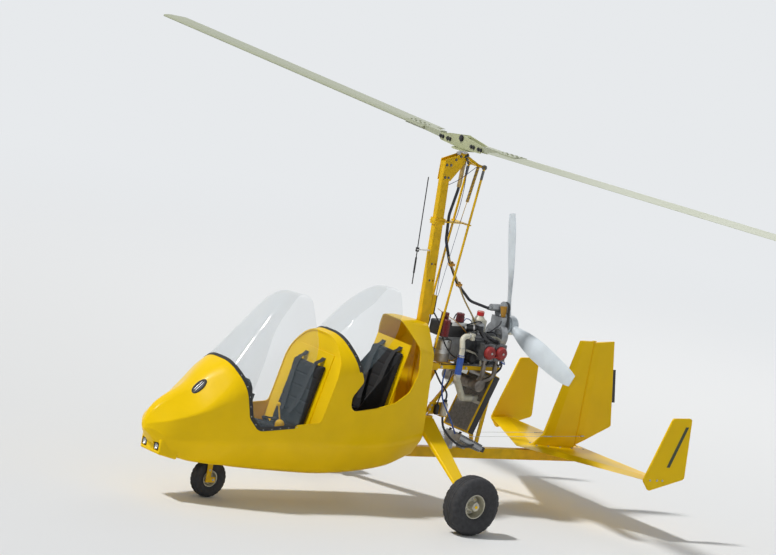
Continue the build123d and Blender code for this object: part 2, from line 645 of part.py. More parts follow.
def blade():
    # root strap between the cheeks, cuff, and a constant-chord blade to the tip
    strap = Pos(0, 250, 0) * Box(60 - 2 * SEAT, 350, 26)
    outline = Polyline((-29.7, 420), (29.7, 420), (62, 520), (70, 700), (-50, 700), (-46, 520), close=True)
    cuff = Pos(0, 0, -15) * extrude(make_face(Plane.XY * outline), 30, dir=(0, 0, 1))
    # root plates over and under the blade, tapering outwards from the ends of the cheeks
    faces = []
    for y, width, height in ((276, 59.4, 44), (840, 66, 16)):
        plane = Plane(origin=(0, y, 0), x_dir=(1, 0, 0), z_dir=(0, 1, 0))
        faces.append(plane * Rectangle(width, height))
    strap = strap + cuff + loft(faces, ruled=True)
    for y in (500, 560, 620, 680):
        for x in (-14, 24):
            strap = strap + Pos(x, y, 0) * Cylinder(8, 42)
    section = blade_profile(BLADE_CHORD, BLADE_THICK)
    aerofoil = Pos(0, BLADE_ROOT, 0) * extrude(section, ROTOR_RADIUS - BLADE_ROOT, dir=(0, 1, 0))
    aerofoil = mirror(aerofoil, about=Plane.YZ)
    return strap + aerofoil


for index, word in enumerate(("a", "b")):
    one = Rot(0, 0, 180 * index) * Rot(CONING, 0, 0) * blade()
    put("rotor_blade_" + word, around_head(one - hub))

# Propeller
prop_hub = Cylinder(74, 60) + Pos(0, 0, 36) * Cylinder(58, 12)
for index in range(6):
    nut = extrude(RegularPolygon(9, 6), 10, both=True)
    prop_hub = prop_hub + Rot(0, 0, 60 * index + 30) * Pos(50, 0, -34) * nut
prop_hub = prop_hub + Pos(0, 0, -38) * Cylinder(30, 16)
prop_hub = prop_hub - Cylinder(SHAFT_R + FIT, 200)
prop_hub = Pos(PROP_X, 0, PROP_Z) * Rot(0, 90, 0) * prop_hub
put("propeller_hub", prop_hub)


# radius, chord, thickness, pitch angle, and how far the section sweeps behind the blade axis
PROP_ROWS = (
    dict(r=60, chord=62, thick=40, pitch=44, back=0),
    dict(r=150, chord=96, thick=30, pitch=38, back=4),
    dict(r=320, chord=146, thick=20, pitch=28, back=8),
    dict(r=560, chord=150, thick=13, pitch=20, back=8),
    dict(r=780, chord=124, thick=8, pitch=15, back=2),
    dict(r=PROP_R, chord=92, thick=5, pitch=13, back=-4),
)


def prop_blade():
    faces = []
    for row in PROP_ROWS:
        plane = Plane(origin=(0, 0, row["r"]), x_dir=(1, 0, 0), z_dir=(0, 0, 1))
        plane = plane.rotated((0, 0, 90 - row["pitch"]))
        lead = row["chord"] * 0.45 + row["back"]
        trail = lead - row["chord"]
        edge = max(1.2, row["thick"] * 0.12)
        crest = lead - row["chord"] * 0.35
        with BuildLine(plane) as line:
            Line((lead, -edge), (lead, edge))
            ThreePointArc((lead, edge), (crest, row["thick"] * 0.28), (trail, edge * 0.6))
            Line((trail, edge * 0.6), (trail, -edge * 0.6))
            ThreePointArc((trail, -edge * 0.6), (crest, -row["thick"] * 0.72), (lead, -edge))
        faces.append(make_face(line.line))
    return loft(faces)


for index in range(3):
    angle = PROP_PHASE + 120 * index
    one = Pos(PROP_X, 0, PROP_Z) * Rot(-angle, 0, 0) * prop_blade()
    put("propeller_blade_" + str(index + 1), one - prop_hub)

# Main gear
CALIPER_Y = 826.0
DISC_R = 80.0
HUB_R = MAIN_AXLE_R + FIT + MAIN_RIM_R * 0.22
legs = []
for side, word in ((1, "left"), (-1, "right")):
    root = (-64, side * 120, 668)
    tip = (-36, side * 800, 262)
    run = Vector(*tip) - Vector(*root)
    faces = []
    for point, chord, depth in ((root, 180, 40), (tip, 100, 24)):
        plane = Plane(origin=point, x_dir=(1, 0, 0), z_dir=run)
        faces.append(plane * RectangleRounded(chord, depth, 9))
    leg = loft(faces)
    leg = leg + box(-50, 30, side * 760, side * 800, 195, 262 + 12)
    leg = leg + Pos(0, side * (TRACK / 2 - 40), MAIN_R) * Rot(90, 0, 0) * Cylinder(MAIN_AXLE_R, 214)
    leg = leg + Pos(0, side * 775, MAIN_R) * Rot(90, 0, 0) * Cylinder(34, 50)
    # brake caliper: a bridge over the edge of the disc
    for y in (CALIPER_Y - 18, CALIPER_Y + 8):
        leg = leg + box(-94, -56, side * y, side * (y + 10), MAIN_R - 24, MAIN_R + 24)
    leg = leg + box(-101, -88, side * (CALIPER_Y - 18), side * (CALIPER_Y + 18), MAIN_R - 24, MAIN_R + 24)
    leg = leg + box(-88, -20, side * 770, side * (CALIPER_Y - 8), MAIN_R - 14, MAIN_R + 14)
    legs.append(leg)
    put("gear_leg_" + word, leg)
carry = box(-145, 20, -125, 125, 640, 700)
put("gear_carrier", carry - mast - rails - legs[0] - legs[1] - hull)


def wheel(name, centre, radius, width, rim_r, axle_r, hub_width, bolts):
    # tyre: flank from the bead out to the shoulder, then a nearly flat tread
    half = width / 2
    rise = radius - rim_r
    flank = [(rim_r, 0.62), (rim_r + rise * 0.16, 0.8), (rim_r + rise * 0.5, 1.0),
             (radius - rise * 0.16, 0.88), (radius, 0.4)]
    points = [(r, -half * share) for r, share in flank] + [(r, half * share) for r, share in reversed(flank)]
    soft = rise * 0.3
    radii = [2, soft * 0.3, soft, soft, soft * 0.6, soft * 0.6, soft, soft, soft * 0.3, 2]
    face = make_face(Plane.XY * FilletPolyline(*points, radius=radii, close=True))
    put(name + "_tyre", Pos(*centre) * revolve(face, Axis.Y))
    # rim: two flanges on a barrel, a dished web and a hub with bolts round it
    bore = axle_r + FIT
    lip = half * 0.62
    hub_r = bore + rim_r * 0.22
    end = hub_width / 2
    rim = [(bore, -end), (hub_r, -end), (hub_r, -5), (rim_r * 0.72, -12), (rim_r - 7, -lip + 6),
           (rim_r - 7, -lip), (rim_r, -lip), (rim_r, lip), (rim_r - 7, lip), (rim_r - 7, -lip + 14),
           (rim_r * 0.72, -3), (hub_r, 5), (hub_r, end), (bore, end)]
    face = make_face(Plane.XY * Polyline(*rim, close=True))
    rim = revolve(face, Axis.Y)
    for index in range(bolts):
        hole = Pos(rim_r * 0.56, 0, 0) * Rot(90, 0, 0) * Cylinder(rim_r * 0.075, 200)
        rim = rim - Rot(0, 360 / bolts * index, 0) * hole
    turn = Rot(0, 0, 180) if centre[1] < 0 else Rot(0, 0, 0)
    put(name + "_rim", Pos(*centre) * turn * rim)


wheel("main_left", (0, TRACK / 2, MAIN_R), MAIN_R, MAIN_WIDTH, MAIN_RIM_R, MAIN_AXLE_R, 120, 6)
wheel("main_right", (0, -TRACK / 2, MAIN_R), MAIN_R, MAIN_WIDTH, MAIN_RIM_R, MAIN_AXLE_R, 120, 6)
wheel("nose", (NOSE_WHEEL_X, 0, NOSE_R), NOSE_R, NOSE_WIDTH, NOSE_RIM_R, NOSE_AXLE_R, 88, 5)
for side, word in ((1, "left"), (-1, "right")):
    disc = Cylinder(DISC_R, 5) - Cylinder(HUB_R - 1, 20)
    for index in range(12):
        disc = disc - Rot(0, 0, 30 * index) * Pos(66, 0, 0) * Cylinder(5, 20)
    bell = Cylinder(HUB_R + 16, 38) - Cylinder(HUB_R - 1, 60)
    disc = disc + Pos(0, 0, -side * 16.5) * bell
    disc = Pos(0, side * CALIPER_Y, MAIN_R) * Rot(90, 0, 0) * disc
    NODES["main_" + word + "_rim"] = NODES["main_" + word + "_rim"] + disc.moved(Location((-MID_X, 0, 0)))

# Nose fork
FORK_Y = NOSE_WIDTH / 2 + 14
fork = Pos(STEER_X, 0, (STEM_TOP + 305) / 2) * Cylinder(STEM_R, STEM_TOP - 305)
fork = fork + box(STEER_X - 70, STEER_X + 34, -FORK_Y - 8, FORK_Y + 8, 300, 316)
for side in (-1, 1):
    y = side * FORK_Y
    fork = fork + box(STEER_X - 20, STEER_X + 20, y - 5, y + 5, 150, 310)
    fork = fork + box(NOSE_WHEEL_X - 18, STEER_X + 20, y - 5, y + 5, 122, 162)
fork = fork + Pos(NOSE_WHEEL_X, 0, NOSE_R) * Rot(90, 0, 0) * Cylinder(NOSE_AXLE_R, 2 * FORK_Y)
put("nose_fork", fork)

# Tail surfaces
stab = []
for side in (-1, 1):
    rows = ((0, -1133, -1830, KEEL_TOP + SEAT, 40), (side * STAB_HALF, -1633, -1850, KEEL_TOP + 6, 26))
    faces = []
    for y, lead, trail, base, depth in rows:
        plane = Plane(origin=(0, y, 0), x_dir=(1, 0, 0), z_dir=(0, -1, 0))
        crest = lead - 150
        outline = Polyline((lead, base + depth * 0.55), (crest, base + depth), (trail, base + depth * 0.5),
                           (trail, base + depth * 0.3), (crest, base), close=True)
        face = plane * make_face(outline)
        faces.append(face)
    stab.append(loft(faces))
stabiliser = stab[0] + stab[1]
put("stabiliser", stabiliser)
PLATE = [(-1633, 452), (-1820, 944), (-2010, 949), (-2046, 470), (-1704, 372)]
for side, word in ((1, "left"), (-1, "right")):
    y0 = side * STAB_HALF
    y1 = side * (STAB_HALF + 14)
    put("end_plate_" + word, slab(PLATE, min(y0, y1), max(y0, y1), 26))
# fin: lens-shaped sections from its foot to its top, with the hinge pin along its back edge
FIN_ROWS = ((455, -1190, 30), (486, -1290, 34), (560, -1372, 36), (640, -1393, 36), (1308, -1568, 24))
FIN_BACK = -1704.0
faces = []
for z, lead, thickness in FIN_ROWS:
    crest = lead + (FIN_BACK - lead) * 0.3
    half = thickness / 2
    outline = Polyline((lead, 0), (lead - 12, half * 0.42), (crest, half), (FIN_BACK, half * 0.6),
                       (FIN_BACK, -half * 0.6), (crest, -half), (lead - 12, -half * 0.42), close=True)
    faces.append(Plane(origin=(0, 0, z)) * make_face(outline))
fin = loft(faces, ruled=True) - stabiliser
fin = fin + rod((HINGE_X, 0, 474), (HINGE_X, 0, 1312), HINGE_R)
fin = fin + box(HINGE_X - 10, -1700, -8, 8, 474, 482) + box(HINGE_X - 10, -1700, -8, 8, 1305.5, 1312)
put("fin", fin - stabiliser)
RUDDER = [(HINGE_X - 4, 1299), (-1915, 1314), (TAIL_X, 645), (-2036, 633), (HINGE_X - 4, 490)]
faces = []
for z, trail in ((480, -2049), (1320, -2049)):
    outline = Polyline((HINGE_X - 4, 12), (HINGE_X - 60, 13), (trail, 2), (trail, -2), (HINGE_X - 60, -13),
                       (HINGE_X - 4, -12), close=True)
    faces.append(Plane(origin=(0, 0, z)) * make_face(outline))
rudder = loft(faces, ruled=True) & slab(RUDDER, -30, 30)
rudder = rudder + Pos(HINGE_X, 0, 894.5) * Cylinder(12, 809)
rudder = rudder - Pos(HINGE_X, 0, 897) * Cylinder(HINGE_R + FIT, 900)
rudder = rudder + box(HINGE_X - 40, HINGE_X - 16, -62, 62, 557, 563)
put("rudder", rudder)

os.makedirs("parts", exist_ok=True)
for name, shape in NODES.items():
    export_step(shape, "parts/" + name + ".step")
    print(name, len(shape.solids()), round(shape.volume / 1000, 1))
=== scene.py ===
import functools
import math

import bpy
from mathutils import Matrix, Vector


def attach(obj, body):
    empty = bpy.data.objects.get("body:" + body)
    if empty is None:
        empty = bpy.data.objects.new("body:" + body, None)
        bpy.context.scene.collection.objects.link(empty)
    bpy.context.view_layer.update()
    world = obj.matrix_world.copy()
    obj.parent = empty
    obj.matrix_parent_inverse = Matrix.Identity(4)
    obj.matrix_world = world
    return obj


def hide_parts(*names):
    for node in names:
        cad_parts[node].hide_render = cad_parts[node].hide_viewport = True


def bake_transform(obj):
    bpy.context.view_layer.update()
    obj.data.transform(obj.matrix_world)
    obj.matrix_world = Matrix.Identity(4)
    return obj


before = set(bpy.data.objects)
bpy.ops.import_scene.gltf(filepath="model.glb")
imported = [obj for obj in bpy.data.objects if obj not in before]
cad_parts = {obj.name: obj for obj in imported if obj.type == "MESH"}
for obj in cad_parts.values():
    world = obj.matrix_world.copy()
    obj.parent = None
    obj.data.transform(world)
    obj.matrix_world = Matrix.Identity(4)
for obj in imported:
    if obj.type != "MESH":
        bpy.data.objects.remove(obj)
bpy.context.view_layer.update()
midX = 0.1915  # stations count from the main axle; the frame's origin lies this far ahead of it
up, aft = (0, 0, 1), (-1, 0, 0)
bothSides = ((1, "left"), (-1, "right"))

# Finishes. Usual slot, colour, how far the colour drifts over the surface, the size of that drift
# in metres, roughness, height and size of the surface's own grain, then metal, coat and shine
finishes = {
    "yellowPaint": ("tail_paint", (0.92, 0.595, 0.001), 0.05, 0.35, 0.3, 0.00025, 0.01, 0, 0.03, 0.12),
    "framePaint": ("frame_paint", (0.8, 0.48, 0.002), 0.1, 0.06, 0.38, 0.0004, 0.006, 0, 0.1, 0.15),
    "blackTrim": ("black_plastic", (0.012, 0.012, 0.013), 0.25, 0.03, 0.55, 0.0004, 0.003),
    "blackPlastic": ("black_plastic", (0.018, 0.018, 0.02), 0.2, 0.05, 0.42, 0.0003, 0.002),
    "panelBlack": ("panel", (0.022, 0.022, 0.024), 0.15, 0.04, 0.6, 0.0003, 0.0015),
    "castAlloy": ("gearbox_alloy", (0.36, 0.37, 0.38), 0.25, 0.05, 0.5, 0.0012, 0.004, 0.9),
    "darkAlloy": ("steel", (0.16, 0.165, 0.17), 0.3, 0.05, 0.5, 0.001, 0.004, 0.8),
    # plateAlloy: alloy grey whose yellow-green tint is a painted reflection of the yellow hull
    "plateAlloy": ("rotor_alloy", (0.44, 0.46, 0.27), 0.05, 0.25, 0.45, 0.0004, 0.006, 0.15),
    # bladeGrey: the blades' grey, made darker and olive by painted shade from their underside
    "bladeGrey": ("blade_alloy", (0.38, 0.4, 0.28), 0.04, 0.6, 0.42, 0.0002, 0.02, 0.1),
    "propGrey": ("prop_grey", (0.62, 0.68, 0.72), 0.06, 0.1, 0.35, 0.0002, 0.01),
    "redCover": ("cover_red", (0.3, 0.018, 0.016), 0.25, 0.03, 0.45, 0.0006, 0.004),
    "stainedSteel": ("exhaust", (0.2, 0.18, 0.16), 0.4, 0.05, 0.45, 0.0005, 0.005, 0.9),
    "plainSteel": ("steel", (0.48, 0.48, 0.47), 0.15, 0.03, 0.35, 0.0003, 0.003, 1.0),
    "milkPlastic": ("bottle", (0.72, 0.69, 0.56), 0.08, 0.04, 0.4, 0.0003, 0.004),
    "coreGrey": ("radiator_core", (0.23, 0.225, 0.215), 0.25, 0.02, 0.6, 0.002, 0.002, 0.3),
    "tyreRubber": ("tyre", (0.032, 0.032, 0.035), 0.35, 0.03, 0.78, 0.0006, 0.003),
    "rimCream": ("rim", (0.6, 0.57, 0.45), 0.12, 0.03, 0.4, 0.0004, 0.005, 0.1),
    "seatCloth": ("cushion", (0.016, 0.016, 0.018), 0.35, 0.01, 0.9, 0.0008, 0.0016),
    "blueHose": ("black_plastic", (0.03, 0.1, 0.42), 0.15, 0.04, 0.42, 0.0004, 0.003),
    "blackHose": ("black_plastic", (0.018, 0.02, 0.026), 0.2, 0.04, 0.5, 0.0004, 0.003),
    "maroonCap": ("cover_red", (0.16, 0.014, 0.018), 0.25, 0.02, 0.42, 0.0003, 0.003),
    "redCap": ("cover_red", (0.62, 0.01, 0.012), 0.12, 0.02, 0.35, 0.0002, 0.003),
    "beigeHose": ("black_plastic", (0.52, 0.5, 0.4), 0.15, 0.03, 0.5, 0.0004, 0.003),
    "blueSpring": ("black_plastic", (0.01, 0.022, 0.12), 0.2, 0.03, 0.4, 0.0002, 0.003),
    "tanTube": ("frame_paint", (0.5, 0.36, 0.13), 0.2, 0.03, 0.45, 0.0003, 0.003),
    "ochrePart": ("frame_paint", (0.62, 0.3, 0.02), 0.2, 0.02, 0.45, 0.0003, 0.003),
    "darkGreen": ("black_plastic", (0.02, 0.04, 0.016), 0.15, 0.05, 0.45, 0.0002, 0.004),
    "whitePart": ("frame_paint", (0.74, 0.74, 0.72), 0.06, 0.03, 0.4, 0.0002, 0.003),
    "webbing": ("cushion", (0.02, 0.02, 0.022), 0.3, 0.02, 0.75, 0.0006, 0.0012),
    "dialFace": ("panel", (0.01, 0.01, 0.011), 0.1, 0.02, 0.3, 0.0001, 0.001),
    "dialMark": ("panel", (0.78, 0.78, 0.75), 0.05, 0.01, 0.5, 0.0001, 0.001),
    "mattSilver": ("alloy", (0.55, 0.55, 0.53), 0.1, 0.03, 0.4, 0.0003, 0.003, 0.8),
}

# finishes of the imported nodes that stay; the others are cast alloy
nodeFinish = {
    "yellowPaint": "cockpit_tub seat_bulkhead gear_leg_left gear_leg_right stabiliser end_plate_left "
                   "end_plate_right fin rudder",
    "framePaint": "throttle_quadrant keel_boom mast engine_mount control_rods gear_carrier nose_fork "
                  "radiator_frame",
    "panelBlack": "instrument_panel",
    "blackPlastic": "control_stick airbox whip_antenna",
    "plainSteel": "rudder_pedals rotor_head",
    "darkAlloy": "engine_block",
    "stainedSteel": "exhaust_muffler",
    "milkPlastic": "coolant_bottle coolant_pipe",
    "coreGrey": "radiator",
    "plateAlloy": "rotor_hub",
    "bladeGrey": "rotor_blade_a rotor_blade_b",
    "propGrey": "propeller_hub propeller_blade_1 propeller_blade_2 propeller_blade_3",
    "rimCream": "main_left_rim main_right_rim nose_rim",
    "redCover": "rocker_covers_left rocker_covers_right",
    "blackHose": "prerotator_shaft",
}


def setInputs(node, values):
    # a node's inputs by name, with _ for a space
    for key, value in values.items():
        node.inputs[key.replace("_", " ")].default_value = value


def newNode(tree, kind, source=None, into=0, **values):
    # a shader node whose input takes the given output
    node = tree.nodes.new("ShaderNode" + kind)
    setInputs(node, values)
    if source:
        tree.links.new(source, node.inputs[into])
    return node


def newMaterial(name, **values):
    made = bpy.data.materials.new(name)
    made.use_nodes = True
    shader = made.node_tree.nodes["Principled BSDF"]
    setInputs(shader, values)
    return made, made.node_tree, shader


@functools.cache
def finish(name):
    # a node material on Object coordinates: colour patches, uneven gloss and a fine bump
    slot, colour, drift, patch, rough, height, grainSize, *rest = finishes[name]
    metal, coat, shine = rest + [0, 0, 0.5][len(rest):]
    made, tree, shader = newMaterial(name, Metallic=metal, Specular_IOR_Level=shine)
    if coat:
        setInputs(shader, dict(Coat_Weight=coat, Coat_Roughness=0.06))
    place = newNode(tree, "TexCoord").outputs["Object"]
    patches = newNode(tree, "TexNoise", place, "Vector", Scale=1 / patch, Detail=4).outputs["Fac"]
    ramp = newNode(tree, "ValToRGB", patches, "Fac")
    for stop, position, tone in zip(ramp.color_ramp.elements, (0.35, 0.65), (1 - drift, 1 + drift * 0.6)):
        stop.position = position
        stop.color = (*(min(1, c * tone) for c in colour), 1)
    gloss = newNode(tree, "MapRange", patches, "Value", To_Min=max(0.05, rough - 0.06),
                    To_Max=min(1, rough + 0.08))
    grain = newNode(tree, "TexNoise", place, "Vector", Scale=1 / grainSize, Detail=2)
    bump = newNode(tree, "Bump", grain.outputs["Fac"], "Height", Strength=0.35, Distance=height)
    for source, target in ((ramp, "Base Color"), (gloss, "Roughness"), (bump, "Normal")):
        tree.links.new(source.outputs[0], shader.inputs[target])
    return made


@functools.cache
def acrylic():
    # thin clear screen: its blue-grey base colour is a painted reflection of the sky; the rim reflections
    # come from its gloss
    made, tree, shader = newMaterial("clearAcrylic", Base_Color=(0.42, 0.55, 0.62, 1), IOR=1.5, Alpha=0.08)
    haze = newNode(tree, "TexNoise", newNode(tree, "TexCoord").outputs["Object"], "Vector", Scale=5)
    gloss = newNode(tree, "MapRange", haze.outputs["Fac"], "Value", To_Min=0.02, To_Max=0.09)
    tree.links.new(gloss.outputs["Result"], shader.inputs["Roughness"])
    return made


finishOf = {node: name for name, listed in nodeFinish.items() for node in listed.split()}
for name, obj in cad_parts.items():
    clear = name.endswith("windscreen") or name.startswith("landing_lamp")
    obj.data.materials.clear()
    obj.data.materials.append(acrylic() if clear else finish(finishOf.get(name, "castAlloy")))
print("finishes on the packed pieces")


def metres(rows):
    # rows of numbers that are written in millimetres
    return [[value / 1000 for value in row] for row in rows]


# Fuselage moulding, smooth through the same stations as the solid inside it. In millimetres: x,
# then floor, waist, shoulder and crown heights, their half widths, and the four corner radii
hullTable = metres([
    (2426, 498, 516, 540, 562, 12, 20, 22, 10, 8, 8, 6, 8),
    (2385, 458, 510, 566, 648, 46, 80, 88, 26, 28, 36, 16, 30),
    (2290, 354, 470, 606, 734, 106, 152, 164, 36, 50, 80, 24, 60),
    (2100, 300, 462, 696, 850, 148, 226, 244, 46, 60, 120, 38, 110),
    (1960, 286, 470, 800, 980, 164, 266, 288, 88, 66, 136, 120, 180),
    (1835, 278, 480, 905, 1060, 182, 306, 320, 130, 70, 150, 230, 240),
    (1350, 252, 500, 1040, 1200, 200, 330, 336, 140, 80, 170, 230, 240),
    (820, 242, 500, 1130, 1308, 200, 330, 330, 150, 80, 170, 230, 240),
    (300, 300, 520, 1240, 1425, 180, 310, 290, 110, 80, 150, 100, 100),
    (30, 395, 560, 1190, 1398, 150, 262, 215, 80, 70, 120, 90, 70),
])
frontScreenTable = metres([
    (1835, 300, 560, 900, 1052, 316, 316, 308, 122, 6, 60, 210, 205),
    (1640, 300, 600, 1080, 1300, 318, 318, 304, 108, 6, 60, 260, 180),
    (1400, 300, 600, 1270, 1555, 318, 318, 280, 80, 6, 60, 340, 130),
    (1140, 300, 600, 1230, 1545, 318, 318, 272, 76, 6, 60, 340, 117),
])
rearScreenTable = metres([
    (880, 800, 960, 1120, 1302, 318, 318, 310, 138, 6, 40, 230, 230),
    (700, 800, 960, 1200, 1520, 318, 318, 290, 110, 6, 40, 360, 160),
    (500, 800, 960, 1330, 1645, 316, 316, 262, 80, 6, 40, 380, 125),
    (300, 800, 960, 1340, 1630, 314, 314, 258, 76, 6, 40, 380, 120),
])
# side outlines of the two cockpit openings, of their edges and of the screens, x and z in millimetres
frontOpening = metres([(1845, 1720), (1835, 1062), (1765, 890), (1705, 690), (1620, 606), (1290, 640),
    (1078, 664), (1050, 770), (998, 1000), (964, 1150), (946, 1330), (946, 1720)])
rearOpening = metres([(890, 1760), (880, 1316), (765, 1045), (735, 985), (822, 870), (822, 752), (570, 786),
    (392, 830), (262, 910), (190, 1050), (205, 1230), (330, 1440), (330, 1760)])
frontEdge = metres([(1842, 1200), (1835, 1062), (1765, 890), (1705, 690), (1620, 606), (1290, 640)])
rearEdge = metres([(886, 1460), (880, 1316), (765, 1045)])
frontGlass = metres([(1833, 1056), (1763, 890), (1703, 690), (1618, 608), (1262, 648), (1205, 960),
    (1175, 1240), (1160, 1700), (1833, 1700)])
rearGlass = metres([(878, 1308), (763, 1045), (742, 1030), (600, 1170), (470, 1320), (370, 1480),
    (330, 1700), (878, 1700)])
# corner radii in metres
frontRadii = [0.005, 0.06, 0.26, 0.06, 0.06, 0.06, 0.04, 0.06, 0.16, 0.06, 0.02, 0.005]
rearRadii = [0.005, 0.06, 0.12, 0.04, 0.06, 0.06, 0.06, 0.1, 0.1, 0.11, 0.16, 0.09, 0.005]
frontEdgeRadii, rearEdgeRadii = [0, 0.06, 0.26, 0.06, 0.06, 0], [0, 0.06, 0]


def stationRow(table, x):
    # section values at any station, on a smooth curve through the table
    last = len(table) - 1
    at = 0
    while at < last - 1 and x < table[at + 1][0]:
        at += 1
    near, far = table[at], table[at + 1]
    run = far[0] - near[0]
    t = min(1, max(0, (x - near[0]) / run))
    h = t * t * (3 - 2 * t)
    row = [x]
    for k in range(1, 13):
        slopes = []
        for i in (at, at + 1):
            a, b = table[max(i - 1, 0)], table[min(i + 1, last)]
            slopes.append((b[k] - a[k]) / (b[0] - a[0]) * run)
        row.append(near[k] * (1 - h) + far[k] * h
                   + slopes[0] * t * (1 - t) ** 2 - slopes[1] * t * t * (1 - t))
    return row


def filletLine(corners, radii, arcSteps=6, closed=True):
    # points along a polygon whose corners are rounded
    points = []
    count = len(corners)
    for i in range(count):
        here = Vector(corners[i])
        if not closed and i in (0, count - 1):
            points.append(here)
            continue
        a = (Vector(corners[i - 1]) - here).normalized()
        b = (Vector(corners[(i + 1) % count]) - here).normalized()
        half = a.angle(b) / 2
        if half > 1.565 or radii[i] <= 0:
            points += [here.copy() for step in range(arcSteps + 1)]
            continue
        reach = radii[i] / math.tan(half)
        centre = here + (a + b).normalized() * (radii[i] / math.sin(half))
        start, end = here + a * reach - centre, here + b * reach - centre
        points += [centre + start.lerp(end, step / arcSteps).normalized() * radii[i]
                   for step in range(arcSteps + 1)]
    return points


def sectionLine(row, arcSteps=6, flatSteps=3):
    # one section as y and z, from the keel line round the port side to the crown and back
    zs, ys, radii = row[1:5], row[5:9], list(row[9:13])
    right = list(zip(ys, zs))
    left = [(-y, z) for y, z in reversed(right)]
    arcs = filletLine(right + left, radii + radii[::-1], arcSteps)
    points = []
    span = arcSteps + 1
    for corner in range(8):
        points += arcs[corner * span:(corner + 1) * span]
        a, b = points[-1], arcs[((corner + 1) * span) % len(arcs)]
        points += [a.lerp(b, (step + 1) / (flatSteps + 1)) for step in range(flatSteps)]
    return points


def skinPoint(table, x, z):
    # where the port skin stands at a given station and height
    line = sectionLine(stationRow(table, x))
    best = None
    for a, b in zip(line, line[1:] + line[:1]):
        if a[0] < 0 or b[0] < 0 or (a[1] - z) * (b[1] - z) > 0 or a[1] == b[1]:
            continue
        y = a[0] + (b[0] - a[0]) * (z - a[1]) / (b[1] - a[1])
        best = y if best is None else max(best, y)
    return None if best is None else Vector((x - midX, best, z))


def inFrame(place):
    # a place that is given by its station, in the frame
    return Vector(place) - Vector((midX, 0, 0))


def select(piece):
    bpy.ops.object.select_all(action="DESELECT")
    bpy.context.view_layer.objects.active = piece
    piece.select_set(True)


def primitive(kind, name="piece", **settings):
    bpy.ops.object.select_all(action="DESELECT")
    getattr(bpy.ops.mesh, f"primitive_{kind}_add")(**settings)
    bpy.context.object.name = name
    return bpy.context.object


def edit(outward=True, **steps):
    # mesh operators in edit mode, each on the whole mesh, then the normals
    bpy.ops.object.mode_set(mode="EDIT")
    if outward:
        steps["normals_make_consistent"] = dict(inside=False)
    for step, settings in steps.items():
        bpy.ops.mesh.select_all(action="SELECT")
        getattr(bpy.ops.mesh, step)(**settings)
    bpy.ops.object.mode_set(mode="OBJECT")


def bake(piece):
    # place, turn and scale go into the mesh
    select(piece)
    bpy.ops.object.transform_apply(location=True, rotation=True, scale=True)
    return piece


def aimed(place, direction):
    # turns Z to the direction and moves to the place
    turn = Vector(direction).normalized().to_track_quat("Z", "Y").to_matrix().to_4x4()
    return Matrix.Translation(inFrame(place)) @ turn


def gridPiece(name, rings):
    # a grid primitive whose rows are laid on rings of points, closed into a tube with two ends
    rows, count = len(rings), len(rings[0])
    piece = primitive("grid", name, x_subdivisions=rows - 1, y_subdivisions=count, size=2)
    for index, vertex in enumerate(piece.data.vertices):
        column, row = divmod(index, rows)
        vertex.co = rings[row][column % count]
    edit(outward=False, remove_doubles=dict(threshold=0.00001))
    bpy.ops.object.mode_set(mode="EDIT")
    bpy.ops.mesh.select_all(action="DESELECT")
    bpy.ops.mesh.select_non_manifold(extend=False)
    bpy.ops.mesh.edge_face_add()
    bpy.ops.object.mode_set(mode="OBJECT")
    edit()
    return piece


def prism(name, outline, low, high, across=True):
    # an outline drawn out across the machine (it holds x and z) or along it (y and z)
    piece = primitive("circle", name, vertices=len(outline), fill_type="NGON")
    for vertex, (u, v) in zip(piece.data.vertices, outline):
        vertex.co = (u - midX, low, v) if across else (low - midX, u, v)
    way = (0, high - low, 0) if across else (high - low, 0, 0)
    edit(extrude_region_move=dict(TRANSFORM_OT_translate={"value": way}))
    return piece


def spun(name, profile, steps, axis, **cleaning):
    # a closed profile of points turned about an axis
    piece = primitive("circle", name, vertices=len(profile), fill_type="NOTHING")
    for vertex, place in zip(piece.data.vertices, profile):
        vertex.co = place
    edit(spin=dict(steps=steps, angle=math.tau, center=(0, 0, 0), axis=axis),
         remove_doubles=dict(threshold=0.00002), **cleaning)
    return piece


def applyModifier(piece, kind, **settings):
    select(piece)
    modifier = piece.modifiers.new(kind.lower(), kind)
    for key, value in settings.items():
        setattr(modifier, key, value)
    bpy.ops.object.modifier_apply(modifier=modifier.name)


def soften(piece, width, segments=2, angle=30):
    applyModifier(piece, "BEVEL", width=width, segments=segments, limit_method="ANGLE",
                  angle_limit=math.radians(angle))


def boolean(piece, other, operation="DIFFERENCE"):
    applyModifier(piece, "BOOLEAN", object=other, operation=operation, solver="EXACT")
    mesh = other.data
    bpy.data.objects.remove(other)
    bpy.data.meshes.remove(mesh)


def dress(piece, colours, angle):
    # place in the mesh, smooth shading and finish
    bake(piece)
    if angle:
        bpy.ops.object.shade_smooth_by_angle(angle=math.radians(angle))
    piece.data.materials.clear()
    for colour in colours:
        piece.data.materials.append(acrylic() if colour == "acrylic" else finish(colour))


def settle(piece, *colours, slot=None, body="airframe", angle=35):
    dress(piece, colours, angle)
    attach(piece, body)
    return piece


def join(name, pieces):
    select(pieces[0])
    for piece in pieces:
        piece.select_set(True)
    bpy.ops.object.join()
    bpy.context.object.name = name
    return bpy.context.object


def group(name, pieces, colour="plainSteel", **where):
    return settle(join(name, pieces), colour, **where)


wall = 0.009
# how the inner skin's heights and half widths step in from the outer skin's, in shares of the wall
insetShares = (0, 1, 0, -0.4, -1, -0.6, -1, -1, -0.4)


def shellRings(table, xFront, xBack, count, inset=0.0, crowd=1.0):
    rings = []
    for index in range(count):
        x = xFront + (xBack - xFront) * (index / (count - 1)) ** crowd
        row = stationRow(table, x)
        row[:9] = [value + inset * share for value, share in zip(row, insetShares)]
        rings.append([Vector((x - midX, y, z)) for y, z in sectionLine(row)])
    return rings


def cut(outline, half, radii=None):
    # an opening in the hull, seen from the side
    boolean(hull, prism("cut", filletLine(outline, radii, 8) if radii else outline, -half, half))


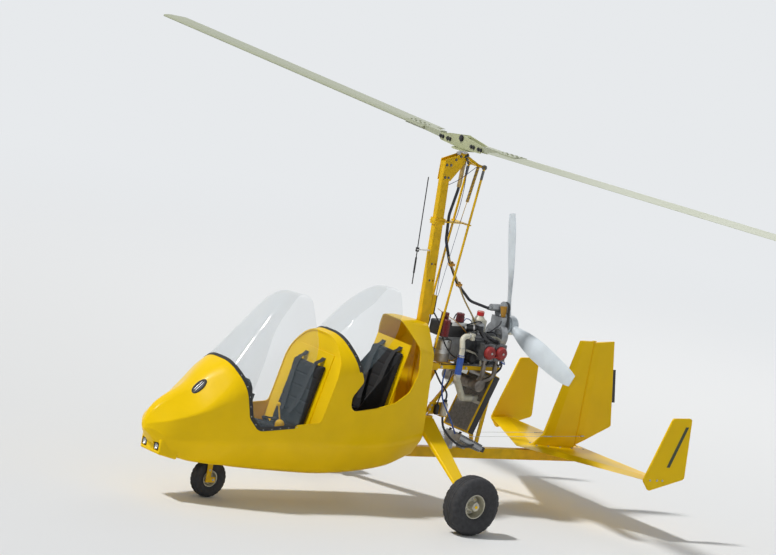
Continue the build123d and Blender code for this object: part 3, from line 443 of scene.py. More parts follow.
hull = gridPiece("fuselage", shellRings(hullTable, 2.426, 0.03, 58, crowd=1.35))
# chin fairing with the two lamp recesses: x, width and height factors and lift at its front and its back
chinFront, chinBack = (0.073, 0.236, 0.118, 0.01), (-0.075, 0.3, 0.15, -0.002)
chin = primitive("cube", size=1, location=(2.262 - midX, 0, 0.382))
for vertex in chin.data.vertices:
    x, wide, tall, lift = chinFront if vertex.co.x > 0 else chinBack
    vertex.co = (x, vertex.co.y * wide, vertex.co.z * tall + lift)
soften(chin, 0.012, 4)
boolean(hull, chin, "UNION")
boolean(hull, gridPiece("hollow", shellRings(hullTable, 2.29, 0.039, 44, inset=wall)))
cut(frontOpening, 0.5, frontRadii)
cut(rearOpening, 0.5, rearRadii)
for side in (-1, 1):
    boolean(hull, primitive("cube", size=1, location=(2.335 - midX, side * 0.074, 0.388),
                            scale=(0.044, 0.062, 0.062)))
wheelArch = primitive("cylinder", vertices=64, radius=0.178, depth=0.11, location=(1.79 - midX, 0, 0.3))
boolean(hull, wheelArch)
# slots for the keel and the mast
cut([(-0.05, 0.25), (0.33, 0.25), (0.33, 0.4363), (-0.05, 0.4363)], 0.0253)
cut([(-0.08, 1.3), (0.085, 1.3), (0.095, 1.6), (-0.08, 1.6)], 0.0275)
# shallow oval hollow on each flank of the rear fairing, leaning with the skin
lean = math.radians(38)
for side in (-1, 1):
    dish = primitive("uv_sphere", segments=48, ring_count=32, radius=1)
    for vertex in dish.data.vertices:
        local = Vector((vertex.co.x * 0.06, vertex.co.y * 0.022, vertex.co.z * 0.14))
        y = local.y * math.cos(lean) - local.z * math.sin(lean)
        z = local.y * math.sin(lean) + local.z * math.cos(lean)
        vertex.co = (0.2 - midX + local.x, side * (0.2665 + 0.0125 + y), 1.3 + 0.008 + z)
    edit()
    boolean(hull, dish)
settle(hull, "yellowPaint", slot="hull_paint", angle=38)
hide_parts("fuselage_shell")
print("fuselage")


def tube(name, points, radius, resolution=3, sides=3, smooth=True):
    # a round pipe or wire along a few points
    curve = bpy.data.curves.new(name, "CURVE")
    curve.dimensions = "3D"
    curve.resolution_u = resolution
    spline = curve.splines.new("NURBS" if smooth else "POLY")
    spline.points.add(len(points) - 1)
    for point, place in zip(spline.points, points):
        point.co = (place[0] - midX, place[1], place[2], 1)
    if smooth:
        spline.order_u = 3
        spline.use_endpoint_u = True
    curve.bevel_depth = radius
    curve.bevel_resolution = sides
    curve.use_fill_caps = True
    pipe = bpy.data.objects.new(name, curve)
    bpy.context.collection.objects.link(pipe)
    select(pipe)
    bpy.ops.object.convert(target="MESH")
    return bpy.context.object


def lines(rows, resolution, sides):
    # pipes through points in millimetres, the radius first
    return [tube("line", metres(row[1:]), row[0] / 1000, resolution, sides) for row in rows]


def cylinder(name, a, b, radius, sides=24, bevel=0.0015):
    # a turned pin or boss from a to b with softened rims
    start, end = inFrame(a), inFrame(b)
    run = end - start
    piece = bake(primitive("cylinder", name, vertices=sides, radius=radius, depth=run.length,
                           location=(start + end) / 2, rotation=run.to_track_quat("Z", "Y").to_euler()))
    if bevel:
        soften(piece, bevel, angle=50)
    return piece


def block(name, x0, x1, y0, y1, z0, z1, bevel=0.003, origin=midX):
    # a softened block between two stations, or about its own origin
    centre = ((x0 + x1) / 2 - origin, (y0 + y1) / 2, (z0 + z1) / 2)
    size = (abs(x1 - x0), abs(y1 - y0), abs(z1 - z0))
    piece = bake(primitive("cube", name, size=1, location=centre, scale=size))
    soften(piece, bevel)
    return piece


def bolts(places, direction, radius, height):
    # bolt heads with washers, each standing on its place along the direction
    heads, d = [], Vector(direction).normalized()
    for place in places:
        a = Vector(place)
        heads.append(cylinder("washer", a, a + d * height * 0.25, radius * 1.25, 20, 0))
        heads.append(cylinder("head", a + d * height * 0.2, a + d * height, radius, 6, radius * 0.08))
    return heads


def turnedRing(name, place, direction, inner, outer, depth):
    # a collar with softened edges
    piece = primitive("cylinder", name, vertices=32, radius=outer, depth=depth)
    boolean(piece, primitive("cylinder", vertices=32, radius=inner, depth=depth * 3))
    soften(piece, min(depth, outer - inner) * 0.22, angle=50)
    piece.matrix_world = aimed(place, direction)
    return bake(piece)


beadShape = dict(radius=0.007, step=0.01, band=0.024, crownSteps=14)
# across the band: share of its width and height over the skin
bandSection = ((0.0, 0.0005), (0.12, 0.0035), (0.5, 0.004), (0.9, 0.0032), (1.0, 0.0005), (1.0, -0.003),
               (0.5, -0.003), (0.0, -0.003))


def fineLine(outline, radii):
    # points about a centimetre apart along a rounded outline, and the outline itself
    line = filletLine(outline, radii, 10, closed=False)
    fine = []
    for a, b in zip(line, line[1:]):
        count = max(1, int((b - a).length / beadShape["step"]))
        fine += [a.lerp(b, step / count) for step in range(count)]
    return fine, line


def mirrored(points):
    return [Vector((p.x, -p.y, p.z)) for p in points]


def crownHeight(table, x, y):
    # height of the skin's upper side at a station and a distance from the middle
    line = sectionLine(stationRow(table, x))
    return max(a[1] + (b[1] - a[1]) * (y - a[0]) / (b[0] - a[0]) for a, b in zip(line, line[1:] + line[:1])
               if a[0] != b[0] and (a[0] - y) * (b[0] - y) <= 0)


def edgeAt(line, z):
    # how far forward the opening's edge is at a height
    for a, b in zip(line, line[1:]):
        if a.y != b.y and (a.y - z) * (b.y - z) <= 0:
            return a.x + (b.x - a.x) * (z - a.y) / (b.y - a.y)
    return line[0].x


def overCrown(start, line, table):
    # points on the skin along the opening's edge, from the port side over the crown to the other side
    points = []
    for step in range(beadShape["crownSteps"] + 1):
        y = start.y * (1 - 2 * step / beadShape["crownSteps"])
        x = start.x + midX
        for tries in range(3):
            x = edgeAt(line, crownHeight(table, x, y))
        points.append(Vector((x - midX, y, crownHeight(table, x, y))))
    return points


def trimBand(name, fine, line, table, low, high):
    # flat rubber strip on the skin beside the opening
    rings = []
    for index in range(1, len(fine) - 1):
        here, run = fine[index], (fine[index + 1] - fine[index - 1]).normalized()
        side = Vector((-run.y, run.x)) * beadShape["band"]
        inner, outer = skinPoint(table, here.x, here.y), skinPoint(table, here.x + side.x, here.y + side.y)
        if inner is None or outer is None or not low <= here.y <= high:
            continue
        ring = []
        for share, lift in bandSection:
            p = inner.lerp(outer, share)
            if 0 < share < 1:
                p = skinPoint(table, here.x + side.x * share, here.y + side.y * share) or p
            out = Vector((0.25 if here.y > 0.7 else 0.0, p.y, p.z - 0.75 if p.z > 0.85 else 0.0)).normalized()
            ring.append(p + out * lift)
        rings.append(ring)
    # the two sides meet over the crown
    top = max(rings, key=lambda ring: ring[0].z)
    over = []
    for place in overCrown(top[0], line, table):
        ring = []
        for p in top:
            x, y = place.x + p.x - top[0].x, p.y * (place.y / top[0].y)
            lift = p.z - crownHeight(table, p.x + midX, p.y)
            ring.append(Vector((x, y, crownHeight(table, x + midX, y) + lift)))
        over.append(ring)
    return [gridPiece(name, part) for part in (rings, [mirrored(ring) for ring in rings], over)]


def edgeBead(name, outline, radii, low, high, node, table=hullTable):
    # rubber bead along the edge of an opening, one run over the crown from sill to sill, and its band
    fine, line = fineLine(outline, radii)
    port = [skinPoint(table, *point) for point in fine if low <= point.y <= high]
    port = [place for place in port if place is not None]
    if port[0].z > port[-1].z:
        port.reverse()
    path = port + overCrown(port[-1], line, table)[1:-1] + mirrored(port[::-1])
    bead = tube(name, [(p.x + midX, p.y, p.z) for p in path], beadShape["radius"], sides=2, smooth=False)
    bead = join(name, [bead] + trimBand(name, fine, line, table, low, high))
    settle(bead, "blackTrim", slot="rubber_trim", angle=50)
    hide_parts(node)


edgeBead("frontCoaming", frontEdge, frontEdgeRadii, 0.6, 1.3, "front_coaming_trim")
edgeBead("rearCoaming", rearEdge, rearEdgeRadii, 1.04, 1.5, "rear_coaming_trim")
screws = []
for edge, edgeRadii, low, high in ((frontEdge, frontEdgeRadii, 0.6, 1.05),
                                   (rearEdge, rearEdgeRadii, 1.04, 1.29)):
    line = filletLine(edge, edgeRadii, 10, closed=False)
    travelled = 0.0
    for a, b in zip(line, line[1:]):
        length = (b - a).length
        while travelled < length and length > 0:
            here, run = a.lerp(b, travelled / length), (b - a).normalized()
            spot = skinPoint(hullTable, here.x - run.y * 0.013, here.y + run.x * 0.013)
            if spot is not None and low <= here.y <= high:
                out = Vector((0.0, spot.y, spot.z - 0.75 if spot.z > 0.85 else 0.0)).normalized()
                for side in (1, -1):
                    foot = Vector((spot.x + midX + out.x * 0.003, side * (spot.y + out.y * 0.003),
                                   spot.z + out.z * 0.003))
                    tip = foot + Vector((out.x, side * out.y, out.z)) * 0.0022
                    screws.append(cylinder("screw", foot, tip, 0.0042, 12, 0.0008))
            travelled += 0.075
        travelled -= length
group("coamingScrews", screws)
print("coaming beads")


def glass(name, table, xFront, xBack, outline, node):
    shell = gridPiece(name, shellRings(table, xFront, xBack, 30))
    boolean(shell, gridPiece("hollow", shellRings(table, xFront + 0.01, xBack - 0.01, 30, inset=0.004)))
    boolean(shell, prism(name + "Cut", outline, -0.5, 0.5), "INTERSECT")
    settle(shell, "acrylic", slot="screen", angle=40)
    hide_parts(node)


glass("frontScreen", frontScreenTable, 1.835, 1.14, frontGlass, "front_windscreen")
glass("rearScreen", rearScreenTable, 0.88, 0.3, rearGlass, "rear_windscreen")
print("windscreens")

# Seat cushions: a padded L that lies on its moulding, swollen by cloth pressure. Corner, toe and top
# of the L are x and z, then the length of its seat and back, and its width
cushionShape = dict(thick=0.038, gap=0.012, voxel=0.006, pressure=4.0, cap=0.014, channel=0.095, groove=0.006)
seatLines = {
    "frontCushion": dict(corner=(1.11, 0.48), toe=(1.44, 0.52), top=(0.96, 1.14), seat=0.31, back=0.59,
                         width=0.38, node="front_seat_cushion"),
    "rearCushion": dict(corner=(0.4, 0.59), toe=(0.76, 0.62), top=(0.255, 1.25), seat=0.33, back=0.6,
                        width=0.36, node="rear_seat_cushion"),
}


def seatAxes(spec):
    # the L's corner, the ways along its seat and up its back, and the ways off both faces
    corner, toe, top = (Vector(spec[key]) for key in ("corner", "toe", "top"))
    along, rise = (toe - corner).normalized(), (top - corner).normalized()
    return corner, along, rise, Vector((-along.y, along.x)), Vector((rise.y, -rise.x))


def swell(pad):
    # a short cloth step under pressure, its travel capped
    start = [v.co.copy() for v in pad.data.vertices]
    cloth = pad.modifiers.new("padding", "CLOTH")
    cloth.settings.use_pressure = True
    cloth.settings.uniform_pressure_force = cushionShape["pressure"]
    cloth.settings.effector_weights.gravity = 0
    for step in range(1, 21):
        bpy.context.scene.frame_set(step)
    swollen = pad.evaluated_get(bpy.context.evaluated_depsgraph_get())
    ends = [v.co.copy() for v in swollen.data.vertices]
    pad.modifiers.remove(cloth)
    bpy.context.scene.frame_set(1)
    for vertex, a, b in zip(pad.data.vertices, start, ends):
        move = b - a
        if move.length > cushionShape["cap"]:
            move = move.normalized() * cushionShape["cap"]
        vertex.co = a + move


def seatCushion(name, spec):
    corner, along, rise, lift, ahead = seatAxes(spec)
    gap, channel = cushionShape["gap"], cushionShape["channel"]

    def cornerAt(distance):
        # where the two faces of the L meet, both this far from the moulding
        a, b = corner + lift * distance, corner + ahead * distance
        cross = along.x * rise.y - along.y * rise.x
        return a + along * (((b.x - a.x) * rise.y - (b.y - a.y) * rise.x) / cross)
    low, high = cornerAt(gap), cornerAt(gap + cushionShape["thick"])
    outline = [low + along * (spec["seat"] - 0.012), low, low + rise * (spec["back"] - 0.012)]
    outline += [high + rise * (spec["back"] - 0.06), high, high + along * (spec["seat"] - 0.06)]
    half = spec["width"] / 2 - 0.012
    pad = prism(name, filletLine(outline, [0.008, 0.01, 0.008, 0.02, 0.03, 0.02], 5), -half, half)
    soften(pad, 0.012, 3, 60)
    select(pad)
    pad.data.remesh_voxel_size = cushionShape["voxel"]
    bpy.ops.object.voxel_remesh()
    swell(pad)
    # sewn channels across the pad, fading out towards its sides
    for vertex in pad.data.vertices:
        run = Vector((vertex.co.x + midX, vertex.co.z)) - high
        reach, off = max((run.dot(along), lift), (run.dot(rise), ahead), key=lambda face: face[0])
        if run.dot(off) > -0.012 and reach > 0.02:
            near = abs(((reach - 0.05) % channel) - channel / 2)
            deep = max(0.0, 1 - (channel / 2 - near) / 0.01) * cushionShape["groove"]
            push = off * -deep * max(0.0, min(1.0, (half - abs(vertex.co.y)) / 0.03))
            vertex.co.x += push.x
            vertex.co.z += push.y
    applyModifier(pad, "SUBSURF", levels=1, render_levels=1)
    settle(pad, "seatCloth", angle=60)
    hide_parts(spec["node"])


for name, spec in seatLines.items():
    seatCushion(name, spec)
print("cushions")

# Straps of both seats: lap belts and shoulder webbing laid over the pads, with buckles
strapWide, strapThick = 0.045, 0.0022
strapSection = [(u / 2, v) for u, v in ((-2, -1), (-1, -1), (0, -1), (1, -1), (2, -1),
                                        (2, 1), (1, 1), (0, 1), (-1, 1), (-2, 1))]
# shoulder strap from the moulding behind the seat's top down the pad: way up the back, off it and aside
shoulderLine = ((0.64, 0.004, 0.105), (0.612, 0.022, 0.104), (0.588, 0.056, 0.102), (0.5, 0.076, 0.098),
                (0.38, 0.077, 0.09), (0.26, 0.08, 0.07), (0.17, 0.098, 0.042))


def strap(name, line, sideways):
    # flat webbing along a line of points, its face turned by the sideways direction
    rings = []
    for index, place in enumerate(line):
        ahead = (Vector(line[min(index + 1, len(line) - 1)]) - Vector(line[max(index - 1, 0)])).normalized()
        across = Vector(sideways)
        across = (across - ahead * across.dot(ahead)).normalized()
        face = ahead.cross(across)
        rings.append([inFrame(place) + across * (u * strapWide / 2) + face * (v * strapThick / 2)
                      for u, v in strapSection])
    return gridPiece(name, rings)


for word, spec in (("front", seatLines["frontCushion"]), ("rear", seatLines["rearCushion"])):
    corner, along, rise, lift, ahead = seatAxes(spec)
    half = spec["width"] / 2
    # lap strap from the seat's corner over the pad to the buckle: way along the seat, off it and aside
    lapLine = ((0.02, 0.01, half + 0.004), (0.06, 0.05, half + 0.006), (0.1, 0.08, half - 0.012),
               (0.12, 0.092, half - 0.07), (0.13, 0.098, half - 0.13), (0.132, 0.104, 0.03))
    belts = []
    for side in (-1, 1):
        for kind, run, off, table, sideways in (("shoulder", rise, ahead, shoulderLine, (0, 1, 0)),
                                                ("lap", along, lift, lapLine, (rise.x * 0.2 + 0.9, 0, 0.35))):
            flat = [(corner + run * a + off * b, side * y) for a, b, y in table]
            belts.append(strap(kind, [(p.x, y, p.y) for p, y in flat], sideways))
    group(word + "Harness", belts, "webbing", angle=40)
    flat = corner + along * 0.132 + lift * 0.108
    hook = join(word + "Buckle", [block("case", -0.025, 0.025, -0.008, 0.008, -0.031, 0.031, 0.004, 0),
                                  block("button", -0.014, 0.014, -0.011, 0.011, -0.025, -0.009, 0.002, 0)])
    hook.matrix_world = Matrix.Translation(inFrame((flat.x, 0, flat.y))) @ \
        Matrix.Rotation(math.radians(90), 4, "X") @ Matrix.Rotation(math.radians(8), 4, "Z")
    settle(hook, "blackPlastic")
print("harness")

# Nose: probe tip and the two lamps with their reflectors
lampZ, lampY, bowlRadius = 0.388, 0.074, 0.0225
settle(cylinder("noseProbe", (2.412, 0, 0.532), (2.4258, 0, 0.532), 0.0075, 20, 0.001), "blackPlastic")
for side, word in bothSides:
    y = side * lampY
    bowl = primitive("circle", word + "Reflector", vertices=32, radius=bowlRadius, fill_type="TRIFAN")
    edit(outward=False, subdivide=dict(number_cuts=3))
    for vertex in bowl.data.vertices:
        depth = 0.014 * (1 - (math.hypot(vertex.co.x, vertex.co.y) / bowlRadius) ** 2)
        vertex.co = (2.3325 - midX - depth, y + vertex.co.x, lampZ + vertex.co.y)
    applyModifier(bowl, "SOLIDIFY", thickness=0.0012, offset=-1)
    settle(bowl, "plainSteel", angle=60)
    settle(turnedRing(word + "LampRing", (2.3335, y, lampZ), (1, 0, 0), 0.0235, 0.027, 0.006), "blackPlastic")
    bulb = cylinder(word + "Bulb", (2.318, y, lampZ), (2.3295, y, lampZ), 0.005, 16, 0.002)
    settle(bulb, "dialMark", slot="steel")
# one oval air inlet on the port side of the nose, a dark recess with bright louvres
spot = skinPoint(hullTable, 2.065, 0.846)
ahead = skinPoint(hullTable, 2.095, 0.846) - skinPoint(hullTable, 2.035, 0.846)
above = skinPoint(hullTable, 2.065, 0.858) - skinPoint(hullTable, 2.065, 0.834)
out = above.cross(ahead).normalized()
out = out if out.z > 0 else -out
long = Vector((0.88, 0.1, -0.47))
long = (long - out * long.dot(out)).normalized()
onSkin = Matrix.Translation(spot) @ Matrix((long, out.cross(long), out)).transposed().to_4x4()
ovals = []
for lift, scale in ((0.0035, (0.074, 0.034, 0.0085)), (0.008, (0.064, 0.026, 0.0055))):
    oval = primitive("uv_sphere", segments=40, ring_count=16, radius=1)
    for vertex in oval.data.vertices:
        vertex.co = (vertex.co.x * scale[0], vertex.co.y * scale[1], vertex.co.z * scale[2] + lift)
    ovals.append(oval)
boolean(*ovals)
louvres = [block("louvre", -0.044, 0.044, y - 0.0022, y + 0.0022, 0.0015, 0.0092, 0.0008, 0)
           for y in (-0.009, 0.006)]
for name, piece, colour in (("leftInlet", ovals[0], "blackPlastic"),
                            ("leftLouvre", join("louvres", louvres), "plainSteel")):
    piece.name = name
    piece.matrix_world = onSkin
    bake(piece)
    edit()
    settle(piece, colour)
print("nose")

# Panel: a row of round dials with ticks and hands, and switches. Low and high end of its rear face, x and z
panelFace = ((1.715, 0.72), (1.76, 0.96))
dials = ((-0.15, 0.885, 0.04), (-0.05, 0.895, 0.04), (0.05, 0.895, 0.04), (0.15, 0.885, 0.04),
         (-0.11, 0.8, 0.028), (-0.03, 0.805, 0.028), (0.05, 0.805, 0.028), (0.125, 0.8, 0.028))


def panelPoint(y, z, out=0.0):
    # a point on the panel's rear face, or off it towards the pilot
    (xLow, zLow), (xHigh, zHigh) = panelFace
    x = xLow + (xHigh - xLow) * ((z - zLow) / (zHigh - zLow))
    return Vector((x - out * 0.983, y, z + out * 0.184))


dialParts, markParts = [], []
for y, z, radius in dials:
    back, front = panelPoint(y, z, 0.0005), panelPoint(y, z, 0.006)
    dialParts.append(turnedRing("bezel", back, front - back, radius - 0.006, radius, 0.008))
    dialParts.append(cylinder("face", back, panelPoint(y, z, 0.0025), radius - 0.004, 32, 0))
    upward = (panelPoint(y, z + 0.01) - panelPoint(y, z)).normalized()
    # ten ticks, then the hand: angle, height over the panel, inner and outer end, half width
    marks = [(-135 + tick * 30, 0.0032, radius * 0.62, radius * 0.78, 0.0007) for tick in range(10)]
    marks.append((-60 + (y * 900 + z * 500) % 150, 0.0036, -0.005, radius * 0.55, 0.0012))
    for degrees, height, near, far, half in marks:
        angle, middle = math.radians(degrees), panelPoint(y, z, height)
        aim = Vector((0, math.sin(angle), 0)) + upward * math.cos(angle)
        markParts.append(cylinder("mark", middle + aim * near, middle + aim * far, half, 6, 0))
for index in range(6):
    y = -0.125 + index * 0.05
    foot, tip = panelPoint(y, 0.745, 0.0005), panelPoint(y, 0.75, 0.016)
    dialParts.append(cylinder("switch", foot, tip, 0.004, 10, 0.001))
group("panelDials", dialParts, "dialFace", angle=40)
group("panelMarks", markParts, "dialMark", angle=40)
print("panel")


# Engine dressing: filters, carburettors, ignition, hoses, clamps, belt and bolts
def lathe(name, place, direction, profile, steps=32):
    # a turned shape: radius and height in millimetres about the direction, closed on its axis
    profile = [(0, profile[0][1])] + profile + ([(0, profile[-1][1])] if profile[-1][0] else [])
    piece = spun(name, [(radius / 1000, 0, height / 1000) for radius, height in profile], steps, up,
                 dissolve_degenerate=dict(threshold=0.00001))
    piece.matrix_world = aimed(place, direction)
    return bake(piece)


def pleat(piece, place, deep, count=24):
    # pleats round an upright piece
    centre = Vector((place[0] - midX, place[1]))
    for vertex in piece.data.vertices:
        flat = Vector((vertex.co.x, vertex.co.y)) - centre
        if flat.length > 0.004:
            angle = math.atan2(flat.y, flat.x)
            flat *= 1 - deep * (0.5 + 0.5 * math.cos(count * angle)) / flat.length
            vertex.co.x, vertex.co.y = centre.x + flat.x, centre.y + flat.y


def clampRing(place, direction, radius, wide=0.012):
    # worm-drive clamp: a band and its screw housing
    d = Vector(direction).normalized()
    side = d.orthogonal().normalized()
    band = turnedRing("band", place, d, radius, radius + 0.0016, wide)
    middle, reach = Vector(place) + side * (radius + 0.004), side.cross(d) * 0.01
    return [band, cylinder("screw", middle - reach, middle + reach, 0.0042, 10, 0.0008)]


# pleated filters: two on the airbox and one at its front corner. Place, both ends, radius in millimetres
filters, rims = [], []
for x, y, low, high, r in ((-0.15, 0.04, 1.416, 1.474, 31.5), (-0.3, 0.04, 1.416, 1.474, 31.5),
                           (-0.126, 0.101, 1.31, 1.432, 30)):
    tall = (high - low) * 1000
    body = [(r, 0), (r, tall * 0.3), (r * 0.96, tall * 0.6), (r * 0.92, tall)]
    filters.append(lathe("filter", (x, y, low), up, body, 96))
    pleat(filters[-1], (x, y), 0.0032)
    for into, z, wide, thin in ((rims, low - 0.004, r * 1.05, 7), (filters, high - 0.003, r * 0.98, 12)):
        into.append(lathe("end", (x, y, z), up, [(wide, 0), (wide, thin * 0.6), (wide * 0.9, thin)], 40))
    rims.append(lathe("nipple", (x, y, high + 0.0085), up, [(8, 0), (8, 2), (5, 4)], 20))
group("intakeFilters", filters, "maroonCap", angle=30)
group("filterRims", rims, "blackPlastic")
# heat plate over the airbox
group("heatPlate", [block("plate", -0.338, -0.196, -0.062, 0.084, 1.413, 1.4148, 0.0008),
                    block("lip", -0.338, -0.196, 0.0825, 0.0842, 1.39, 1.4148, 0.0006)], "mattSilver")
# bottle cap with finger ribs, and a moulded seam round the bottle
bottleAt = (-0.5, 0.03)
cap = lathe("bottleCap", (*bottleAt, 1.4705), up, [(28.5, 0), (28.5, 28), (26.5, 33.5), (0, 34.5)], 72)
pleat(cap, bottleAt, 0.001)
settle(cap, "redCap", angle=30)
settle(lathe("bottleSeam", (*bottleAt, 1.437), up, [(48.5, 0), (49.5, 3), (48.5, 6)], 40), "milkPlastic")
print("filters and bottle")

# carburettors: bowl, dome and lever on each side
headsX, crankZ = (-0.46, -0.572), 1.235
for side, word in bothSides:
    y, outward, intake = side * 0.122, (0, side, 0), (-0.114, side * 0.066, 0.016)
    bowl = lathe("bowl", (-0.44, y, 1.338), up, [(20, 0), (25, 5), (27, 30), (29.5, 32), (29.5, 38)])
    dome = lathe("dome", (-0.44, y, 1.412), up, [(33.5, 0), (33.5, 6), (30, 14), (18, 21), (8, 23)])
    turns = [math.tau * (index + 0.5) / 4 for index in range(4)]
    screws = bolts([(-0.44 + 0.028 * math.cos(turn), y + 0.028 * math.sin(turn), 1.4165) for turn in turns],
                   up, 0.0035, 0.004)
    lever = block("lever", -0.452, -0.448, side * 0.15, side * 0.155, 1.375, 1.415, 0.001)
    group(word + "Carburettor", [bowl, dome, lever], "castAlloy")
    group(word + "CarburettorBolts", screws)
    rings = clampRing((-0.4, side * 0.0978, 1.3867), intake, 0.0245)
    rings += clampRing((-0.345, side * 0.0652, 1.3792), intake, 0.0245)
    # rocker covers: gasket, centre bolt and plug caps on each head
    dark = []
    for x in headsX:
        dark.append(lathe("gasket", (x, side * 0.2575, crankZ), outward, [(52.5, 0), (52.5, 3)], 40))
        rings += bolts([(x, side * 0.2938, crankZ)], outward, 0.0072, 0.006)
        for z, dx, way in ((1.296, 0.03, 1), (1.172, -0.03, -1)):
            p = Vector((x + dx, side * 0.236, z))
            dark.append(cylinder("plugCap", p, p + Vector((0, side * 0.012, way * 0.034)), 0.0075, 14, 0.002))
            dark.append(cylinder("boot", p + Vector((0, side * 0.008, way * 0.026)),
                                 p + Vector((0.026, side * 0.01, way * 0.034)), 0.0062, 12, 0.0015))
    group(word + "HeadFittings", dark, "blackTrim")
    group(word + "EngineClamps", rings)
print("carburettors and heads")

# ignition modules with their plug leads
modules, leads = [], []
for side in (-1, 1):
    modules.append(block("module", -0.455, -0.375, side * 0.012, side * 0.05, 1.3495, 1.38, 0.003))
    for index in range(5):
        x = -0.45 + index * 0.0165
        modules.append(block("fin", x, x + 0.003, side * 0.013, side * 0.049, 1.38, 1.387, 0.0006))
group("ignitionModules", modules, "blackPlastic")
for side in (-1, 1):
    plugs = [(x, z, dx) for z, dx in ((1.33, 0.03), (1.138, -0.03)) for x in headsX]
    for index, (x, z, dx) in enumerate(plugs):
        start = Vector((-0.372 - 0.004 * index, side * (0.02 + 0.007 * index), 1.366))
        way = [start, start + Vector((0.03, side * 0.006, 0.004)),
               Vector((-0.332 - 0.01 * index, side * (0.085 + 0.012 * index), 1.35)),
               Vector((-0.352 - 0.02 * index, side * 0.16, 1.322 - 0.012 * index)),
               Vector((x + dx + 0.052, side * 0.222, z + (0.012 if z > 1.2 else 0.03))),
               Vector((x + dx + 0.026, side * 0.246, z))]
        if z < 1.2:
            way.insert(4, Vector((-0.385, side * 0.18, 1.215)))
        leads.append(tube("lead", way, 0.0034, 6, 1))
group("plugLeads", leads, "blackHose", angle=60)
# wiring and fuel lines in millimetres: the radius, then a few points from one fitting to the next
looms = {
    "blackHose": [
        (5.5, (-60, 10, 1470), (-90, 30, 1430), (-95, 85, 1360), (-120, 118, 1270), (-180, 125, 1200),
         (-260, 110, 1150), (-345, 100, 1140)),
        (4.5, (-55, -12, 1460), (-85, -50, 1400), (-110, -100, 1300), (-170, -125, 1190),
         (-300, -120, 1150), (-352, -100, 1150)),
        (5, (-330, 70, 1395), (-370, 110, 1425), (-420, 135, 1450), (-445, 128, 1436)),
        (5, (-330, -70, 1395), (-370, -110, 1425), (-420, -135, 1450), (-445, -128, 1436)),
        (7, (-330, 30, 1330), (-335, 90, 1300), (-330, 120, 1240), (-350, 112, 1190)),
        (6, (-560, 70, 1350), (-590, 120, 1370), (-630, 130, 1330), (-640, 105, 1260)),
        (4.2, (-480, 165, 1180), (-440, 175, 1130), (-380, 150, 1112), (-300, 140, 1106), (-120, 138, 1106)),
        (8, (-640, 100, 1200), (-680, 150, 1170), (-690, 170, 1110), (-650, 165, 1060), (-612, 150, 1030)),
        (4.5, (-690, 60, 1440), (-650, 110, 1430), (-600, 120, 1400), (-560, 100, 1360)),
    ],
    "blueHose": [
        (6, (-235, 62, 1118), (-185, 120, 1060), (-130, 175, 960), (-150, 190, 840), (-240, 180, 740),
         (-330, 150, 640), (-402, 120, 560)),
        (3.5, (-320, 60, 1400), (-360, 20, 1440), (-430, 0, 1430), (-480, -20, 1400), (-520, -40, 1352)),
        (4.5, (-596, 245, 1175), (-625, 262, 1150), (-655, 235, 1150), (-668, 180, 1180), (-672, 98, 1210)),
    ],
    "beigeHose": [
        (10, (-520, 100, 1320), (-545, 165, 1335), (-575, 182, 1300), (-560, 165, 1255), (-535, 150, 1230)),
        (10, (-590, 95, 1320), (-620, 155, 1330), (-640, 170, 1290), (-620, 160, 1250), (-600, 150, 1235)),
        (8.5, (-350, 108, 1215), (-385, 150, 1210), (-430, 165, 1195), (-470, 170, 1160), (-480, 160, 1115)),
    ],
    "ochrePart": [
        (2.6, (-100, 0, 1500), (-130, 60, 1470), (-200, 95, 1440), (-300, 100, 1380), (-350, 105, 1330)),
        (2.4, (-105, 90, 1105), (-200, 120, 1112), (-300, 115, 1160), (-350, 112, 1230)),
    ],
}
for colour, routes in looms.items():
    group(colour + "Lines", lines(routes, 8, 2), colour, slot="black_plastic", angle=60)
print("leads and lines")

# coolant hose in its two colours, with clamps at both ends and at the sleeve
coolantLine = [(-262, 180, 1189.7), (-262, 180, 1100), (-262, 180, 1023), (-262, 180, 1000),
               (-276.5, 174.3, 983), (-320, 157.3, 932), (-372, 137, 871), (-390, 130, 850),
               (-418.6, 130, 850), (-540, 130, 850)]
hose = settle(tube("coolantHose", metres(coolantLine), 0.026, 10, 5), "blueHose", "beigeHose",
              slot="hose_blue", angle=60)
for face in hose.data.polygons:
    face.material_index = 0 if face.center.z > 1.035 else 1
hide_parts("coolant_hose")
bands = []
for place, direction, radius, wide in (
        ((-0.262, 0.18, 1.18), up, 0.0262, 0.012), ((-0.262, 0.18, 1.036), up, 0.0262, 0.012),
        ((-0.48, 0.13, 0.85), (1, 0, 0), 0.0262, 0.012),
        ((-0.262, 0.1765, 1.243), (0, -0.05, 1), 0.0213, 0.006),
        ((-0.327, 0.15, 1.33), (1, 0, 0), 0.0213, 0.012)):
    bands += clampRing(place, direction, radius, wide)
group("hoseClamps", bands)
# oil tank on a tray between the bearers
settle(block("tankTray", -0.275, -0.135, -0.128, 0.128, 1.1003, 1.104, 0.001), "framePaint")
tank = lathe("oilTank", (-0.205, 0.01, 1.104), up, [(60, 0), (64, 4), (64, 60), (65.5, 63), (64, 66),
             (64, 150), (66.5, 152), (66.5, 160), (60, 170), (22, 176), (22, 188), (20, 190)], 48)
settle(tank, "mattSilver", angle=30)
bands = [turnedRing("tankBand", (-0.205, 0.01, 1.205), up, 0.0642, 0.066, 0.018)]
for y, end in ((-0.045, -0.075), (0.062, 0.092)):
    bands.append(cylinder("tankFitting", (-0.205, y, 1.262), (-0.205, end, 1.268), 0.008, 16, 0.001))
group("tankFittings", bands)
# toothed belt between the drum and the gearbox; each pulley's height and radius
drumZ, drumRadius, pulleyZ, pulleyRadius = 1.532, 0.0425, 1.4, 0.068
beltBack, beltFront, beltThick = -0.766, -0.744, 0.004


